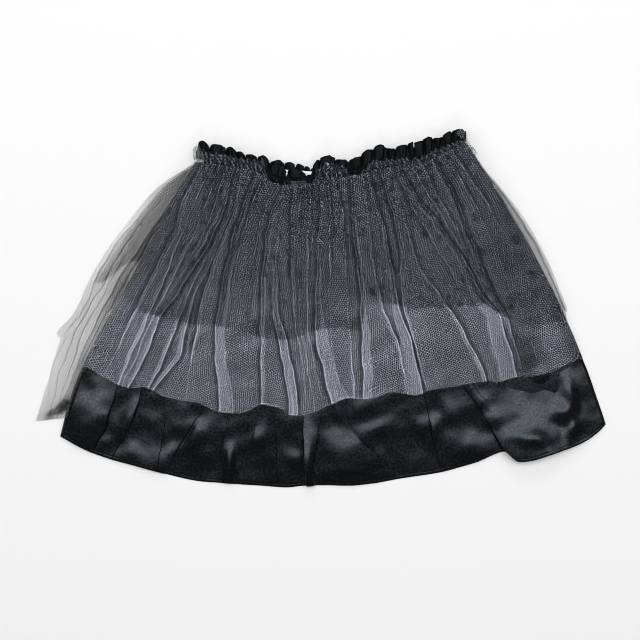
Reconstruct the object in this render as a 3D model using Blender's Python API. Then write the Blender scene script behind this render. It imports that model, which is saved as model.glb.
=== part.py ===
"""A child's gathered tutu skirt, laid flat on its back with the front up.

A black satin underskirt, a long grey tulle layer and a short dark tulle layer are gathered
to one elastic casing. The casing has a heading frill of satin inside and of tulle outside.

Every cloth panel is cut from one fan lattice: columns run from the waist to the hem, and the
rows follow the hems. A panel lies on the top of the panels beneath it, a seam gap above.
Sizes in the tables are millimetres, x to the wearer's left, y towards the waist, z up.
"""

import math
from collections import namedtuple

import bmesh
import bpy

MM = 0.001

# Driving sizes of the cloth, mm
WALL = 1.1
SEAM_GAP = 0.3
LANDING = 9.0
HEM_SPACING = 14.0
HEM_MARGIN = 2.0
COLUMNS = 40
LEFT_REACH_COLUMNS = 2
RIGHT_REACH_COLUMNS = 1
ROWS_ABOVE_SHORT_HEM = 4

# Driving sizes of the waist, mm
CASING_DEPTH = 10.5
CASING_WALL = 1.8
FRILL_WALL = 1.0
FRILL_WAVE = 2.2
WAIST_COLUMNS = 64
FRILL_RUFFLES = 16
TULLE_FRILL_DEPTH = 9.0
TULLE_FRILL_MIDDLE_DEPTH = 2.0
LABEL_WIDTH = 29.0
LABEL_DEPTH = 9.0
LABEL_WALL = 1.0
LABEL_PLACE = (-22.5, 124.5)

# One row for each line of the fan. dip is how far the front waist seam hangs below the back
# one, and bow is how far the middle of the line swings to the right of its chord.
Fan = namedtuple("Fan", "station waist_x waist_y dip hem_x hem_y bow")
FAN = (
    Fan(0.00, -115.0, 134.0, 1.5, -242.5, -120.0, -7.5),
    Fan(0.08, -98.0, 132.0, 1.5, -209.5, -136.5, -5.5),
    Fan(0.16, -80.5, 130.0, 2.0, -167.5, -148.5, -3.5),
    Fan(0.25, -58.5, 127.5, 4.5, -116.5, -159.5, -3.0),
    Fan(0.30, -47.0, 126.5, 10.0, -90.0, -162.5, -2.0),
    Fan(0.35, -35.0, 125.5, 14.0, -64.0, -164.5, -1.0),
    Fan(0.45, -13.0, 124.5, 12.0, -12.0, -166.0, 0.0),
    Fan(0.55, 11.0, 124.5, 6.5, 41.5, -163.5, 1.0),
    Fan(0.65, 36.0, 126.5, 5.0, 93.5, -156.0, 3.0),
    Fan(0.75, 64.0, 130.0, 2.0, 142.5, -143.0, 4.5),
    Fan(0.82, 84.5, 134.5, 4.0, 170.5, -134.0, 7.5),
    Fan(0.86, 95.5, 137.5, 4.5, 183.5, -143.0, 8.5),
    Fan(0.93, 114.0, 144.0, 2.5, 226.0, -134.5, 11.0),
    Fan(0.97, 125.0, 148.5, 2.0, 250.0, -125.0, 12.5),
    Fan(1.00, 133.5, 152.0, 1.5, 264.5, -108.0, 13.0),
)

# Where each tulle hem crosses the fan, as a share of the way from the waist to the satin hem.
Hems = namedtuple("Hems", "station short long_front long_back")
HEMS = (
    Hems(-0.10, 0.43, 0.75, 0.945),
    Hems(0.00, 0.50, 0.75, 0.93),
    Hems(0.12, 0.51, 0.74, 0.87),
    Hems(0.25, 0.50, 0.76, 0.83),
    Hems(0.38, 0.50, 0.73, 0.81),
    Hems(0.50, 0.49, 0.74, 0.80),
    Hems(0.60, 0.42, 0.72, 0.79),
    Hems(0.72, 0.45, 0.74, 0.80),
    Hems(0.85, 0.47, 0.72, 0.80),
    Hems(0.92, 0.56, 0.74, 0.81),
    Hems(1.00, 0.62, 0.77, 0.82),
    Hems(1.05, 0.58, 0.77, 0.82),
)

# How far the back tulle spreads past the satin, mm, down the side folds.
Reach = namedtuple("Reach", "share left right")
REACH = (
    Reach(0.00, 2.0, 0.5),
    Reach(0.08, 22.0, 1.5),
    Reach(0.19, 31.0, 8.0),
    Reach(0.30, 37.0, 11.0),
    Reach(0.43, 41.0, 10.0),
    Reach(0.58, 40.0, 6.0),
    Reach(0.75, 33.0, 3.0),
    Reach(1.00, 27.0, 2.0),
)

# The largest folds: the station that each runs down, and how high it stands, mm.
Fold = namedtuple("Fold", "station at_waist at_hem")
SATIN_FOLDS = (
    Fold(0.05, 1.0, 2.4),
    Fold(0.13, 1.2, 3.2),
    Fold(0.20, 1.0, 2.0),
    Fold(0.30, 1.2, 3.0),
    Fold(0.40, 1.0, 2.4),
    Fold(0.48, 1.2, 3.4),
    Fold(0.56, 1.0, 2.2),
    Fold(0.66, 1.2, 2.8),
    Fold(0.75, 1.0, 2.0),
    Fold(0.85, 1.2, 3.6),
    Fold(0.93, 1.0, 2.8),
)
LONG_TULLE_FOLDS = (
    Fold(0.05, 2.2, 1.6),
    Fold(0.12, 2.8, 2.4),
    Fold(0.20, 3.0, 2.0),
    Fold(0.28, 3.2, 3.0),
    Fold(0.35, 2.8, 1.8),
    Fold(0.41, 3.0, 2.2),
    Fold(0.48, 2.6, 2.8),
    Fold(0.56, 3.0, 3.0),
    Fold(0.62, 2.8, 1.8),
    Fold(0.68, 3.0, 2.6),
    Fold(0.74, 2.6, 2.0),
    Fold(0.81, 3.0, 1.8),
    Fold(0.88, 2.8, 3.0),
    Fold(0.95, 2.2, 1.8),
)
SHORT_TULLE_FOLDS = (
    Fold(0.08, 2.6, 1.8),
    Fold(0.16, 3.0, 2.4),
    Fold(0.24, 2.6, 1.8),
    Fold(0.31, 3.0, 2.2),
    Fold(0.38, 2.8, 2.6),
    Fold(0.45, 3.0, 1.8),
    Fold(0.52, 2.6, 2.4),
    Fold(0.59, 3.0, 2.0),
    Fold(0.65, 2.6, 2.8),
    Fold(0.71, 3.0, 2.2),
    Fold(0.78, 2.8, 1.8),
    Fold(0.84, 3.0, 2.4),
    Fold(0.91, 2.6, 2.0),
)

# How far the satin heading stands above each waist seam, mm, from the left end to the right.
Heading = namedtuple("Heading", "station front back")
HEADINGS = (
    Heading(0.00, 20.0, 17.0),
    Heading(0.10, 19.5, 16.5),
    Heading(0.20, 16.5, 14.5),
    Heading(0.27, 18.0, 13.0),
    Heading(0.31, 14.0, 13.0),
    Heading(0.35, 14.0, 13.0),
    Heading(0.41, 12.5, 12.5),
    Heading(0.44, 13.0, 12.5),
    Heading(0.50, 19.0, 12.5),
    Heading(0.60, 15.5, 12.5),
    Heading(0.66, 18.0, 13.0),
    Heading(0.75, 21.0, 15.0),
    Heading(0.84, 20.5, 15.0),
    Heading(0.90, 15.0, 14.0),
    Heading(0.94, 17.0, 13.0),
    Heading(0.97, 18.5, 12.5),
    Heading(1.00, 14.5, 12.5),
)

# The stations between which the front tulle frill is turned in, and the share over which it turns.
BARE_CASING = (0.28, 0.46)
FRILL_TURN = 0.04

# Heights of the layers at the waist, mm
BACK_FRILL_FLOOR = WALL + SEAM_GAP
LABEL_FLOOR = 3.0 * (WALL + SEAM_GAP)
FRONT_CASING_FLOOR = LABEL_FLOOR + LABEL_WALL + SEAM_GAP

SATIN = ("black_satin", (0.012, 0.013, 0.016, 1.0), 0.34)
GREY_TULLE = ("grey_tulle", (0.20, 0.21, 0.24, 1.0), 0.85)
DARK_TULLE = ("dark_tulle", (0.05, 0.05, 0.065, 1.0), 0.85)
WHITE_TAPE = ("white_tape", (0.85, 0.85, 0.84, 1.0), 0.80)


def along(table, at, column):
    """Read one named column of a table at a place between its rows."""
    key = table[0]._fields[0]
    for low, high in zip(table, table[1:]):
        start, end = getattr(low, key), getattr(high, key)
        if at <= end or high is table[-1]:
            share = min(max((at - start) / (end - start), 0.0), 1.0)
            return getattr(low, column) + share * (getattr(high, column) - getattr(low, column))
    return getattr(table[-1], column)


def smooth(share):
    """Ease a share from 0 to 1."""
    share = min(max(share, 0.0), 1.0)
    return share * share * (3.0 - 2.0 * share)


def fan_point(column, share):
    """Place a point of the fan in plan, by its column and its share of the way to the hem."""
    station = min(max(column / COLUMNS, 0.0), 1.0)
    row = {name: along(FAN, station, name) for name in Fan._fields[1:]}
    x = row["waist_x"] + share * (row["hem_x"] - row["waist_x"])
    y = row["waist_y"] + share * (row["hem_y"] - row["waist_y"])
    x += 4.0 * row["bow"] * share * (1.0 - share)
    if column < 0:
        x += column / LEFT_REACH_COLUMNS * along(REACH, share, "left")
    if column > COLUMNS:
        x += (column - COLUMNS) / RIGHT_REACH_COLUMNS * along(REACH, share, "right")
    return x, y


def line_length(column):
    """Measure a fan line's drop from the back waist seam to the satin hem."""
    station = min(max(column / COLUMNS, 0.0), 1.0)
    return along(FAN, station, "waist_y") - along(FAN, station, "hem_y")


def lattice_rows(column):
    """List the shares at which the rows of the lattice cross a column, named by their places."""
    station = column / COLUMNS
    length = line_length(column)
    landing = LANDING / length
    waist = along(FAN, min(max(station, 0.0), 1.0), "dip") / length
    short = along(HEMS, station, "short")
    long_front = along(HEMS, station, "long_front")
    long_back = along(HEMS, station, "long_back")
    long_back = max(long_back, long_front + HEM_SPACING / length)
    last_landing = min(long_back + landing, 1.0 - HEM_MARGIN / length)
    steps = ROWS_ABOVE_SHORT_HEM
    shares = [0.0, waist]
    shares += [waist + (short - waist) * step / steps for step in range(1, steps)]
    shares += [short, short + landing]
    shares += [long_front, long_front + landing]
    shares += [long_back, last_landing, 1.0]
    return shares


BACK_WAIST, FRONT_WAIST = 0, 1
SHORT_HEM = FRONT_WAIST + ROWS_ABOVE_SHORT_HEM
LONG_FRONT_HEM = SHORT_HEM + 2
LONG_BACK_HEM = LONG_FRONT_HEM + 2
SATIN_HEM = LONG_BACK_HEM + 2


class Stack:
    """The top of the cloth laid so far, kept at every crossing of the lattice."""

    def __init__(self):
        first, last = -LEFT_REACH_COLUMNS, COLUMNS + RIGHT_REACH_COLUMNS
        self.rows = {column: lattice_rows(column) for column in range(first, last + 1)}
        self.top = {}

    def lay(self, columns, rows, folds):
        """Lay a panel on the stack and return its lower and upper grids of points, mm."""
        rises = {round(fold.station * COLUMNS): fold for fold in folds}
        lower, upper = [], []
        for column in range(columns[0], columns[1] + 1):
            fold = rises.get(column)
            low_line, high_line = [], []
            for row in range(rows[0], rows[1] + 1):
                share = self.rows[column][row]
                x, y = fan_point(column, share)
                under = self.top.get((column, row))
                floor = 0.0 if under is None else under + SEAM_GAP
                if fold:
                    floor += fold.at_waist + smooth(share) * (fold.at_hem - fold.at_waist)
                low_line.append((x, y, floor))
                high_line.append((x, y, floor + WALL))
                self.top[(column, row)] = floor + WALL
            lower.append(low_line)
            upper.append(high_line)
        return lower, upper


def finish(piece, look):
    """Give a piece the material of its look, a name, colour and roughness."""
    label, colour, roughness = look
    material = bpy.data.materials.get(label) or bpy.data.materials.new(label)
    material.use_nodes = True
    shader = material.node_tree.nodes["Principled BSDF"]
    shader.inputs["Base Color"].default_value = colour
    shader.inputs["Roughness"].default_value = roughness
    shader.inputs["Metallic"].default_value = 0.0
    piece.data.materials.append(material)


def wall_between(name, lower, upper, look, parent):
    """Build one closed wall between two grids of points and give it its node name."""
    mesh = bpy.data.meshes.new(name)
    bm = bmesh.new()
    low = [[bm.verts.new([MM * part for part in point]) for point in line] for line in lower]
    high = [[bm.verts.new([MM * part for part in point]) for point in line] for line in upper]
    columns, rows = len(low) - 1, len(low[0]) - 1
    for i in range(columns):
        for j in range(rows):
            a, b, c, d = high[i][j], high[i][j + 1], high[i + 1][j + 1], high[i + 1][j]
            bm.faces.new((a, b, c))
            bm.faces.new((a, c, d))
            a, b, c, d = low[i][j], low[i][j + 1], low[i + 1][j + 1], low[i + 1][j]
            bm.faces.new((c, b, a))
            bm.faces.new((d, c, a))
    rim = [(i, 0) for i in range(columns)] + [(columns, j) for j in range(rows)]
    rim += [(i, rows) for i in range(columns, 0, -1)] + [(0, j) for j in range(rows, 0, -1)]
    for (i, j), (k, l) in zip(rim, rim[1:] + rim[:1]):
        bm.faces.new((low[i][j], high[i][j], high[k][l], low[k][l]))
    bmesh.ops.recalc_face_normals(bm, faces=bm.faces)
    bm.to_mesh(mesh)
    bm.free()
    panel = bpy.data.objects.new(name, mesh)
    panel.parent = parent
    finish(panel, look)
    bpy.context.collection.objects.link(panel)
    return panel


def waist_point(station, is_front):
    """Give the waist seam of the front or of the back at a station, mm."""
    dip = along(FAN, station, "dip") if is_front else 0.0
    return along(FAN, station, "waist_x"), along(FAN, station, "waist_y") - dip


def strip(columns, is_front, start, end, low_wall, high_wall):
    """Give the two grids of a strip along the waist, from start to end above the seam, mm."""
    lower, upper = [], []
    for index in range(columns + 1):
        station = index / columns
        x, y = waist_point(station, is_front)
        edges = (end(station), start(station))
        lower.append([(x, y + rise, low_wall(station, row)) for row, rise in enumerate(edges)])
        upper.append([(x, y + rise, high_wall(station, row)) for row, rise in enumerate(edges)])
    return lower, upper


def casing(name, is_front, floor, parent):
    """Build the half of the elastic casing on one side of the waist."""
    grids = strip(
        WAIST_COLUMNS,
        is_front,
        lambda station: SEAM_GAP,
        lambda station: CASING_DEPTH,
        lambda station, row: floor,
        lambda station, row: floor + CASING_WALL,
    )
    wall_between(name, *grids, SATIN, parent)


def ruffle(station):
    """Give the height of a frill's free edge over its sewn edge, mm."""
    return FRILL_WAVE * 0.5 * (1.0 - math.cos(2.0 * math.pi * FRILL_RUFFLES * station))


def satin_heading(name, is_front, floor, parent):
    """Build the scalloped satin frill that stands above the casing."""
    side = "front" if is_front else "back"
    free_floor = floor if is_front else 0.0

    def under(station, row):
        return floor if row == 1 else free_floor + ruffle(station)

    grids = strip(
        WAIST_COLUMNS,
        is_front,
        lambda station: CASING_DEPTH + SEAM_GAP,
        lambda station: along(HEADINGS, station, side),
        under,
        lambda station, row: under(station, row) + FRILL_WALL,
    )
    wall_between(name, *grids, SATIN, parent)


def tulle_frill_depth(station, is_front):
    """Give the depth of the tulle frill, which is turned in where the casing is bare."""
    if not is_front:
        return TULLE_FRILL_DEPTH
    start, end = BARE_CASING
    away = max(start - station, station - end) / FRILL_TURN
    return TULLE_FRILL_MIDDLE_DEPTH + smooth(away) * (TULLE_FRILL_DEPTH - TULLE_FRILL_MIDDLE_DEPTH)


def tulle_heading(name, is_front, floor, parent):
    """Build the tulle frill that lies on the outside of the casing."""

    def under(station, row):
        lift = ruffle(station) if is_front and row == 0 else 0.0
        return floor + lift

    grids = strip(
        WAIST_COLUMNS,
        is_front,
        lambda station: SEAM_GAP,
        lambda station: tulle_frill_depth(station, is_front),
        under,
        lambda station, row: under(station, row) + FRILL_WALL,
    )
    wall_between(name, *grids, GREY_TULLE, parent)


def label(parent):
    """Build the blank label that lies inside the back of the waist."""
    x, y = LABEL_PLACE
    half_width, half_depth = 0.5 * LABEL_WIDTH, 0.5 * LABEL_DEPTH
    corners = [[(x + i * half_width, y + j * half_depth) for j in (1, -1)] for i in (-1, 1)]
    lower = [[(px, py, LABEL_FLOOR) for px, py in line] for line in corners]
    upper = [[(px, py, LABEL_FLOOR + LABEL_WALL) for px, py in line] for line in corners]
    wall_between("waist_label", lower, upper, WHITE_TAPE, parent)


def skirt_panels(parent):
    """Lay the six skirt panels on each other, from the back short tulle to the front one."""
    stack = Stack()
    wide = (-LEFT_REACH_COLUMNS, COLUMNS + RIGHT_REACH_COLUMNS)
    left_wide = (-LEFT_REACH_COLUMNS, COLUMNS)
    plain = (0, COLUMNS)
    panels = (
        ("tulle_short_back", wide, (BACK_WAIST, SHORT_HEM), (), DARK_TULLE),
        ("tulle_long_back", left_wide, (BACK_WAIST, LONG_BACK_HEM), (), GREY_TULLE),
        ("satin_back", plain, (BACK_WAIST, SATIN_HEM), (), SATIN),
        ("satin_front", plain, (FRONT_WAIST, SATIN_HEM), SATIN_FOLDS, SATIN),
        ("tulle_long_front", plain, (FRONT_WAIST, LONG_FRONT_HEM), LONG_TULLE_FOLDS, GREY_TULLE),
        ("tulle_short_front", plain, (FRONT_WAIST, SHORT_HEM), SHORT_TULLE_FOLDS, DARK_TULLE),
    )
    for name, columns, rows, folds, look in panels:
        wall_between(name, *stack.lay(columns, rows, folds), look, parent)


def waist_pieces(parent):
    """Build the casing, the four frills and the label."""
    tulle_heading("tulle_heading_back", False, 0.0, parent)
    casing("waist_casing_back", False, BACK_FRILL_FLOOR, parent)
    satin_heading("satin_heading_back", False, BACK_FRILL_FLOOR, parent)
    label(parent)
    casing("waist_casing_front", True, FRONT_CASING_FLOOR, parent)
    satin_heading("satin_heading_front", True, FRONT_CASING_FLOOR, parent)
    front_frill_floor = FRONT_CASING_FLOOR + CASING_WALL + SEAM_GAP
    tulle_heading("tulle_heading_front", True, front_frill_floor, parent)


def centre_in_plan(skirt):
    """Shift the skirt so that the middle of its outline is the origin."""
    bpy.context.view_layer.update()
    for axis in (0, 1):
        places = [
            (piece.matrix_world @ vertex.co)[axis]
            for piece in skirt.children
            for vertex in piece.data.vertices
        ]
        skirt.location[axis] = -0.5 * (min(places) + max(places))


def build():
    """Clear the scene and build the tutu."""
    for item in list(bpy.data.objects):
        bpy.data.objects.remove(item, do_unlink=True)
    skirt = bpy.data.objects.new("skirt", None)
    bpy.context.collection.objects.link(skirt)
    skirt_panels(skirt)
    waist_pieces(skirt)
    centre_in_plan(skirt)


build()
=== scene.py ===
"""The looks of a child's gathered tutu skirt that lies flat on its back, front up.

Grey and charcoal nets are pleated over a black satin underskirt, and everything is gathered to
one frilled elastic casing. Every sheet is laid on the sheets beneath it. Sizes in the tables
are millimetres in the frame: x to the right, y towards the waist and z up.
"""

import logging
import math
from dataclasses import dataclass, field, replace
from enum import Enum
from typing import Callable, Optional, Sequence, Union

import bpy
import numpy as np
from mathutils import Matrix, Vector

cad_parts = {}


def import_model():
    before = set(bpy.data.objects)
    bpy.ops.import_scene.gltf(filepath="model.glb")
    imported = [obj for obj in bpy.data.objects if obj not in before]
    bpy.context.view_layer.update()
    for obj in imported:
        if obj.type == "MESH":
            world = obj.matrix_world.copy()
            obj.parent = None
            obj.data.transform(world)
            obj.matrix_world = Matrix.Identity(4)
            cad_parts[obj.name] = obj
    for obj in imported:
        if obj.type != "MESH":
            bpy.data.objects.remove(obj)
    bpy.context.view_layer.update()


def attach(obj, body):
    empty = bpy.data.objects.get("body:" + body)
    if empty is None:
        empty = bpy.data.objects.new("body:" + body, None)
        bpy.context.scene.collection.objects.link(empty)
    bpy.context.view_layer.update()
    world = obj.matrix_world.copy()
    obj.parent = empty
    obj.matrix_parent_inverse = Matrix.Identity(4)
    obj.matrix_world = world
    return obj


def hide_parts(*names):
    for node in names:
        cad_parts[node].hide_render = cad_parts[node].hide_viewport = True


Array = np.ndarray
Socket = bpy.types.NodeSocket
Value = Union[float, tuple, Socket]
Sizes = tuple[float, ...]
Table = Sequence[Sequence[float]]
Curve = Callable[[Array], Array]
Side = Union[float, Table]
Columns = dict[str, Array]

MM = 0.001
ROOT = "root"
# How close a net's threads lie; beside the pleats and in some thin places it also carries painted shade.
CLOSENESS = "thread_closeness"

# What fixes the grain of the stitches, and of the first piece at the waist.
STITCH_SEED = 40
FIRST_STRIP_SEED = 30

log = logging.getLogger("tutu")


# ---------------------------------------------------------------- plan of the skirt


@dataclass(frozen=True)
class FanLine:
    """One line of the skirt's fan, from the back waist seam to the satin hem.

    dip is how far the front seam hangs below the back one, and bow is how far the middle of the
    line swings to the right of its chord.
    """

    station: float
    waist_x: float
    waist_y: float
    dip: float
    hem_x: float
    hem_y: float
    bow: float


FAN_LINES = (
    FanLine(0, -115, 134, 1.5, -242.5, -120, -7.5),
    FanLine(0.08, -98, 132, 1.5, -209.5, -136.5, -5.5),
    FanLine(0.16, -80.5, 130, 2, -167.5, -148.5, -3.5),
    FanLine(0.25, -58.5, 127.5, 4.5, -116.5, -159.5, -3),
    FanLine(0.3, -47, 126.5, 10, -90, -162.5, -2),
    FanLine(0.35, -35, 125.5, 14, -64, -164.5, -1),
    FanLine(0.45, -13, 124.5, 12, -12, -166, 0),
    FanLine(0.55, 11, 124.5, 6.5, 41.5, -163.5, 1),
    FanLine(0.65, 36, 126.5, 5, 93.5, -156, 3),
    FanLine(0.75, 64, 130, 2, 142.5, -143, 4.5),
    FanLine(0.82, 84.5, 134.5, 4, 170.5, -134, 7.5),
    FanLine(0.86, 95.5, 137.5, 4.5, 183.5, -143, 8.5),
    FanLine(0.93, 114, 144, 2.5, 226, -134.5, 11),
    FanLine(0.97, 125, 148.5, 2, 250, -125, 12.5),
    FanLine(1, 133.5, 152, 1.5, 264.5, -108, 13),
)
# What brings the middle of the plan to the frame's origin: x, y.
CENTRING = (0.14, 0.5)

# How far the back nets spread past the satin, down the side folds: share, left, right.
REACH = (
    (0, 2, 0.5),
    (0.08, 22, 1.5),
    (0.19, 31, 8),
    (0.3, 37, 11),
    (0.43, 39, 10),
    (0.53, 37.5, 7),
    (0.65, 38, 5),
    (0.75, 34.5, 3),
    (1, 27, 2),
)
# How far the left rim's rounded corner stands out: share, mm.
RIM = ((0.50, 0.0), (0.56, 1.0), (0.595, 5.0), (0.615, 7.0), (0.630, 5.0), (0.642, 0.5), (0.66, 0.0))
# The stations of the side folds of the back nets.
LEFT_SIDE = -0.05
RIGHT_SIDE = 1.025

# Where each net's hem crosses the fan: station, share of the way from the waist to the hem.
LONG_FRONT_HEM = (
    (-0.012, 0.738), (0, 0.746), (0.02, 0.752), (0.04, 0.756), (0.097, 0.761), (0.128, 0.745),
    (0.17, 0.761), (0.198, 0.761), (0.226, 0.758), (0.273, 0.777), (0.32, 0.773), (0.333, 0.762),
    (0.356, 0.741), (0.375, 0.746), (0.395, 0.752), (0.406, 0.767), (0.418, 0.773), (0.434, 0.775),
    (0.458, 0.765), (0.48, 0.751), (0.504, 0.736), (0.531, 0.722), (0.561, 0.729), (0.591, 0.729),
    (0.605, 0.719), (0.62, 0.718), (0.644, 0.73), (0.67, 0.742), (0.696, 0.735), (0.736, 0.741),
    (0.779, 0.748), (0.812, 0.755), (0.888, 0.728), (0.917, 0.739), (0.942, 0.741), (0.965, 0.737),
    (1, 0.765),
)
SHORT_FRONT_HEM = (
    (0, 0.48), (0.056, 0.511), (0.109, 0.512), (0.156, 0.516), (0.2, 0.514), (0.243, 0.506),
    (0.314, 0.518), (0.387, 0.535), (0.432, 0.517), (0.474, 0.501), (0.526, 0.491), (0.58, 0.484),
    (0.591, 0.427), (0.627, 0.429), (0.663, 0.44), (0.689, 0.46), (0.727, 0.471), (0.771, 0.485),
    (0.817, 0.495), (0.873, 0.484), (0.893, 0.521), (0.932, 0.573), (0.963, 0.591), (1, 0.624),
)
LONG_BACK_HEM = (
    (-0.05, 0.945), (0, 0.93), (0.12, 0.87), (0.25, 0.83), (0.38, 0.81), (0.5, 0.8),
    (0.6, 0.79), (0.72, 0.8), (0.85, 0.8), (0.92, 0.79), (0.98, 0.72), (1.005, 0.62),
    (1.025, 0.585),
)
SHORT_BACK_HEM = (
    (-0.05, 0.435), (-0.036, 0.439), (-0.0145, 0.365), (0, 0.36), (0.03, 0.48), (0.12, 0.51),
    (0.25, 0.5), (0.38, 0.5), (0.5, 0.49), (0.6, 0.42), (0.72, 0.45), (0.85, 0.47),
    (0.92, 0.56), (1.025, 0.6),
)

# How the left side of the satin and of the front nets bows: share, station.
SATIN_SIDE = (
    (0, 0), (0.4, 0), (0.5, -0.002), (0.61, -0.0055), (0.7, -0.0085), (0.78, -0.009),
    (0.86, -0.008), (0.93, -0.0045), (1, 0),
)
# The side nets reach a little way in under that side.
WRAP_INSIDE = tuple((share, station + 0.004) for share, station in SATIN_SIDE)

# The satin's own hem, which wavers about the fan's last line: station, share.
SATIN_HEM = (
    (0, 1), (0.15, 1), (0.2, 1.003), (0.25, 1.006), (0.3, 1.003), (0.36, 1.003),
    (0.41, 1.006), (0.44, 1), (0.48, 0.9985), (0.53, 1.004), (0.57, 1.003), (0.61, 0.999),
    (0.64, 1), (0.7, 1.006), (0.76, 1.005), (0.82, 1), (0.88, 0.998), (0.91, 0.992),
    (0.94, 0.99), (0.96, 0.989), (0.98, 0.994), (0.99, 1.001), (1, 1.004),
)


def spline(places: Sequence[float], values: Sequence[float], at: Array) -> Array:
    """Read a smooth curve through a table's values, which holds its end values outside.

    Args:
        places: the rising places of the knots.
        values: the value at each knot.
        at: where to read the curve.

    Returns:
        The curve's values, in the shape of at.
    """
    knots, heights = np.asarray(places, float), np.asarray(values, float)
    at = np.clip(np.asarray(at, float), knots[0], knots[-1])
    low = np.clip(np.searchsorted(knots, at, side="right") - 1, 0, len(knots) - 2)
    step = np.diff(knots)
    slope = np.diff(heights) / step
    lean = np.concatenate([slope[:1], slope, slope[-1:]])
    lean = 0.5 * (lean[:-1] + lean[1:])
    flat = np.concatenate([[1.0], slope[:-1] * slope[1:], [1.0]]) <= 0.0
    lean = np.where(flat, 0.0, lean)
    share = (at - knots[low]) / step[low]
    square, cube = share**2, share**3
    start = (2 * cube - 3 * square + 1) * heights[low] + (cube - 2 * square + share) * step[low] * lean[low]
    end = (3 * square - 2 * cube) * heights[low + 1] + (cube - square) * step[low] * lean[low + 1]
    return start + end


def ease(share: Array) -> Array:
    """Ease a share from 0 to 1."""
    share = np.clip(share, 0.0, 1.0)
    return share * share * (3.0 - 2.0 * share)


def column(table: Sequence[Sequence[float]], index: int) -> list[float]:
    """Take one column of a table."""
    return [row[index] for row in table]


def along(table: Table, at: Array, index: int = 1) -> Array:
    """Read a column of a table as a smooth curve over its first column."""
    return spline(column(table, 0), column(table, index), at)


def span_of(table: Table) -> tuple[float, float]:
    """Give the first and last place of a table."""
    return table[0][0], table[-1][0]


@dataclass(frozen=True)
class Fan:
    """The plan of the skirt: places given by a station across it and a share of the way down."""

    lines: Sequence[FanLine] = FAN_LINES
    reach: Table = REACH
    station_step: float = 0.004
    least_width: float = 60.0

    def read(self, name: str, station: Array) -> Array:
        """Read one size of the fan's lines at the stations."""
        places = [line.station for line in self.lines]
        return spline(places, [getattr(line, name) for line in self.lines], station)

    def point(self, station: Array, share: Array) -> tuple[Array, Array]:
        """Place points in plan.

        Args:
            station: the place across, from 0 to 1 over the satin and a little past it at the sides.
            share: the place down, from 0 at the back waist seam to 1 at the satin hem.

        Returns:
            The points' x and y, mm.
        """
        waist_x, waist_y = self.read("waist_x", station), self.read("waist_y", station)
        x = waist_x + share * (self.read("hem_x", station) - waist_x)
        y = waist_y + share * (self.read("hem_y", station) - waist_y)
        x = x + 4.0 * self.read("bow", station) * share * (1.0 - share)
        past_left = np.clip(station / LEFT_SIDE, 0.0, 1.0)
        past_right = np.clip((station - 1.0) / (RIGHT_SIDE - 1.0), 0.0, 1.0)
        x = x - past_left * along(self.reach, share, 1)
        x = x - past_left**4 * along(RIM, share)
        x = x + past_right * along(self.reach, share, 2)
        return x + CENTRING[0], y + CENTRING[1]

    def length(self, station: Array) -> Array:
        """Measure the drop of the fan's lines, mm."""
        return self.read("waist_y", station) - self.read("hem_y", station)

    def width_of_station(self, station: Array, share: Array) -> Array:
        """Measure how wide a whole station would be at a place, mm."""
        step = self.station_step
        x0, y0 = self.point(station - step, share)
        x1, y1 = self.point(station + step, share)
        return np.maximum(np.hypot(x1 - x0, y1 - y0) / (2.0 * step), self.least_width)

    def front_waist(self, station: Array) -> Array:
        """Give the share at which the front waist seam crosses the fan."""
        return self.read("dip", station) / self.length(station)


# ---------------------------------------------------------------- what the cloth lies on


@dataclass
class Pile:
    """The top of the cloth laid so far, in mm over a plan of square cells."""

    cell: float = 1.5
    half_width: float = 300.0
    half_depth: float = 200.0
    # How far inside the last cell a place is kept, in cells.
    margin: float = 1.001
    top: Array = field(init=False)

    def __post_init__(self) -> None:
        """Start with a bare floor."""
        rows = int(2 * self.half_depth / self.cell) + 1
        columns = int(2 * self.half_width / self.cell) + 1
        self.top = np.zeros((rows, columns))

    def spread(self, reach: float) -> Array:
        """Smooth the top so that a stiff sheet on it touches only its high places.

        Args:
            reach: how far the sheet bridges, mm.

        Returns:
            The smoothed top, nowhere below the top.
        """
        cells = max(1, int(round(reach / self.cell)))
        steps = range(-cells, cells + 1)
        top = self.top
        for axis in (0, 1):
            top = np.max([np.roll(top, step, axis) for step in steps], axis=0)
        for axis in (0, 1):
            top = np.mean([np.roll(top, step, axis) for step in steps], axis=0)
        return top

    def under(self, x: Array, y: Array, reach: float) -> Array:
        """Give the height that a sheet rests on at each place, mm."""
        top = self.spread(reach)
        across = np.clip((x + self.half_width) / self.cell, 0, top.shape[1] - self.margin)
        down = np.clip((y + self.half_depth) / self.cell, 0, top.shape[0] - self.margin)
        i, j = down.astype(int), across.astype(int)
        u, v = across - j, down - i
        low = top[i, j] * (1 - u) + top[i, j + 1] * u
        high = top[i + 1, j] * (1 - u) + top[i + 1, j + 1] * u
        return low * (1 - v) + high * v

    def add(self, points: Array, thickness: float) -> None:
        """Raise the top to a grid of points and the cloth's thickness, mm."""
        for axis in (0, 1, 0, 1):
            points = self._halve(points, axis)
        j = np.round((points[..., 0] + self.half_width) / self.cell).astype(int)
        i = np.round((points[..., 1] + self.half_depth) / self.cell).astype(int)
        i, j = np.clip(i, 0, self.top.shape[0] - 1), np.clip(j, 0, self.top.shape[1] - 1)
        np.maximum.at(self.top, (i, j), points[..., 2] + thickness)

    @staticmethod
    def _halve(points: Array, axis: int) -> Array:
        """Put a point half way between each two along an axis of the grid."""
        points = np.moveaxis(points, axis, 0)
        middle = 0.5 * (points[:-1] + points[1:])
        out = np.empty((2 * len(points) - 1, *points.shape[1:]))
        out[0::2], out[1::2] = points, middle
        return np.moveaxis(out, 0, axis)


# ---------------------------------------------------------------- materials


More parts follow.
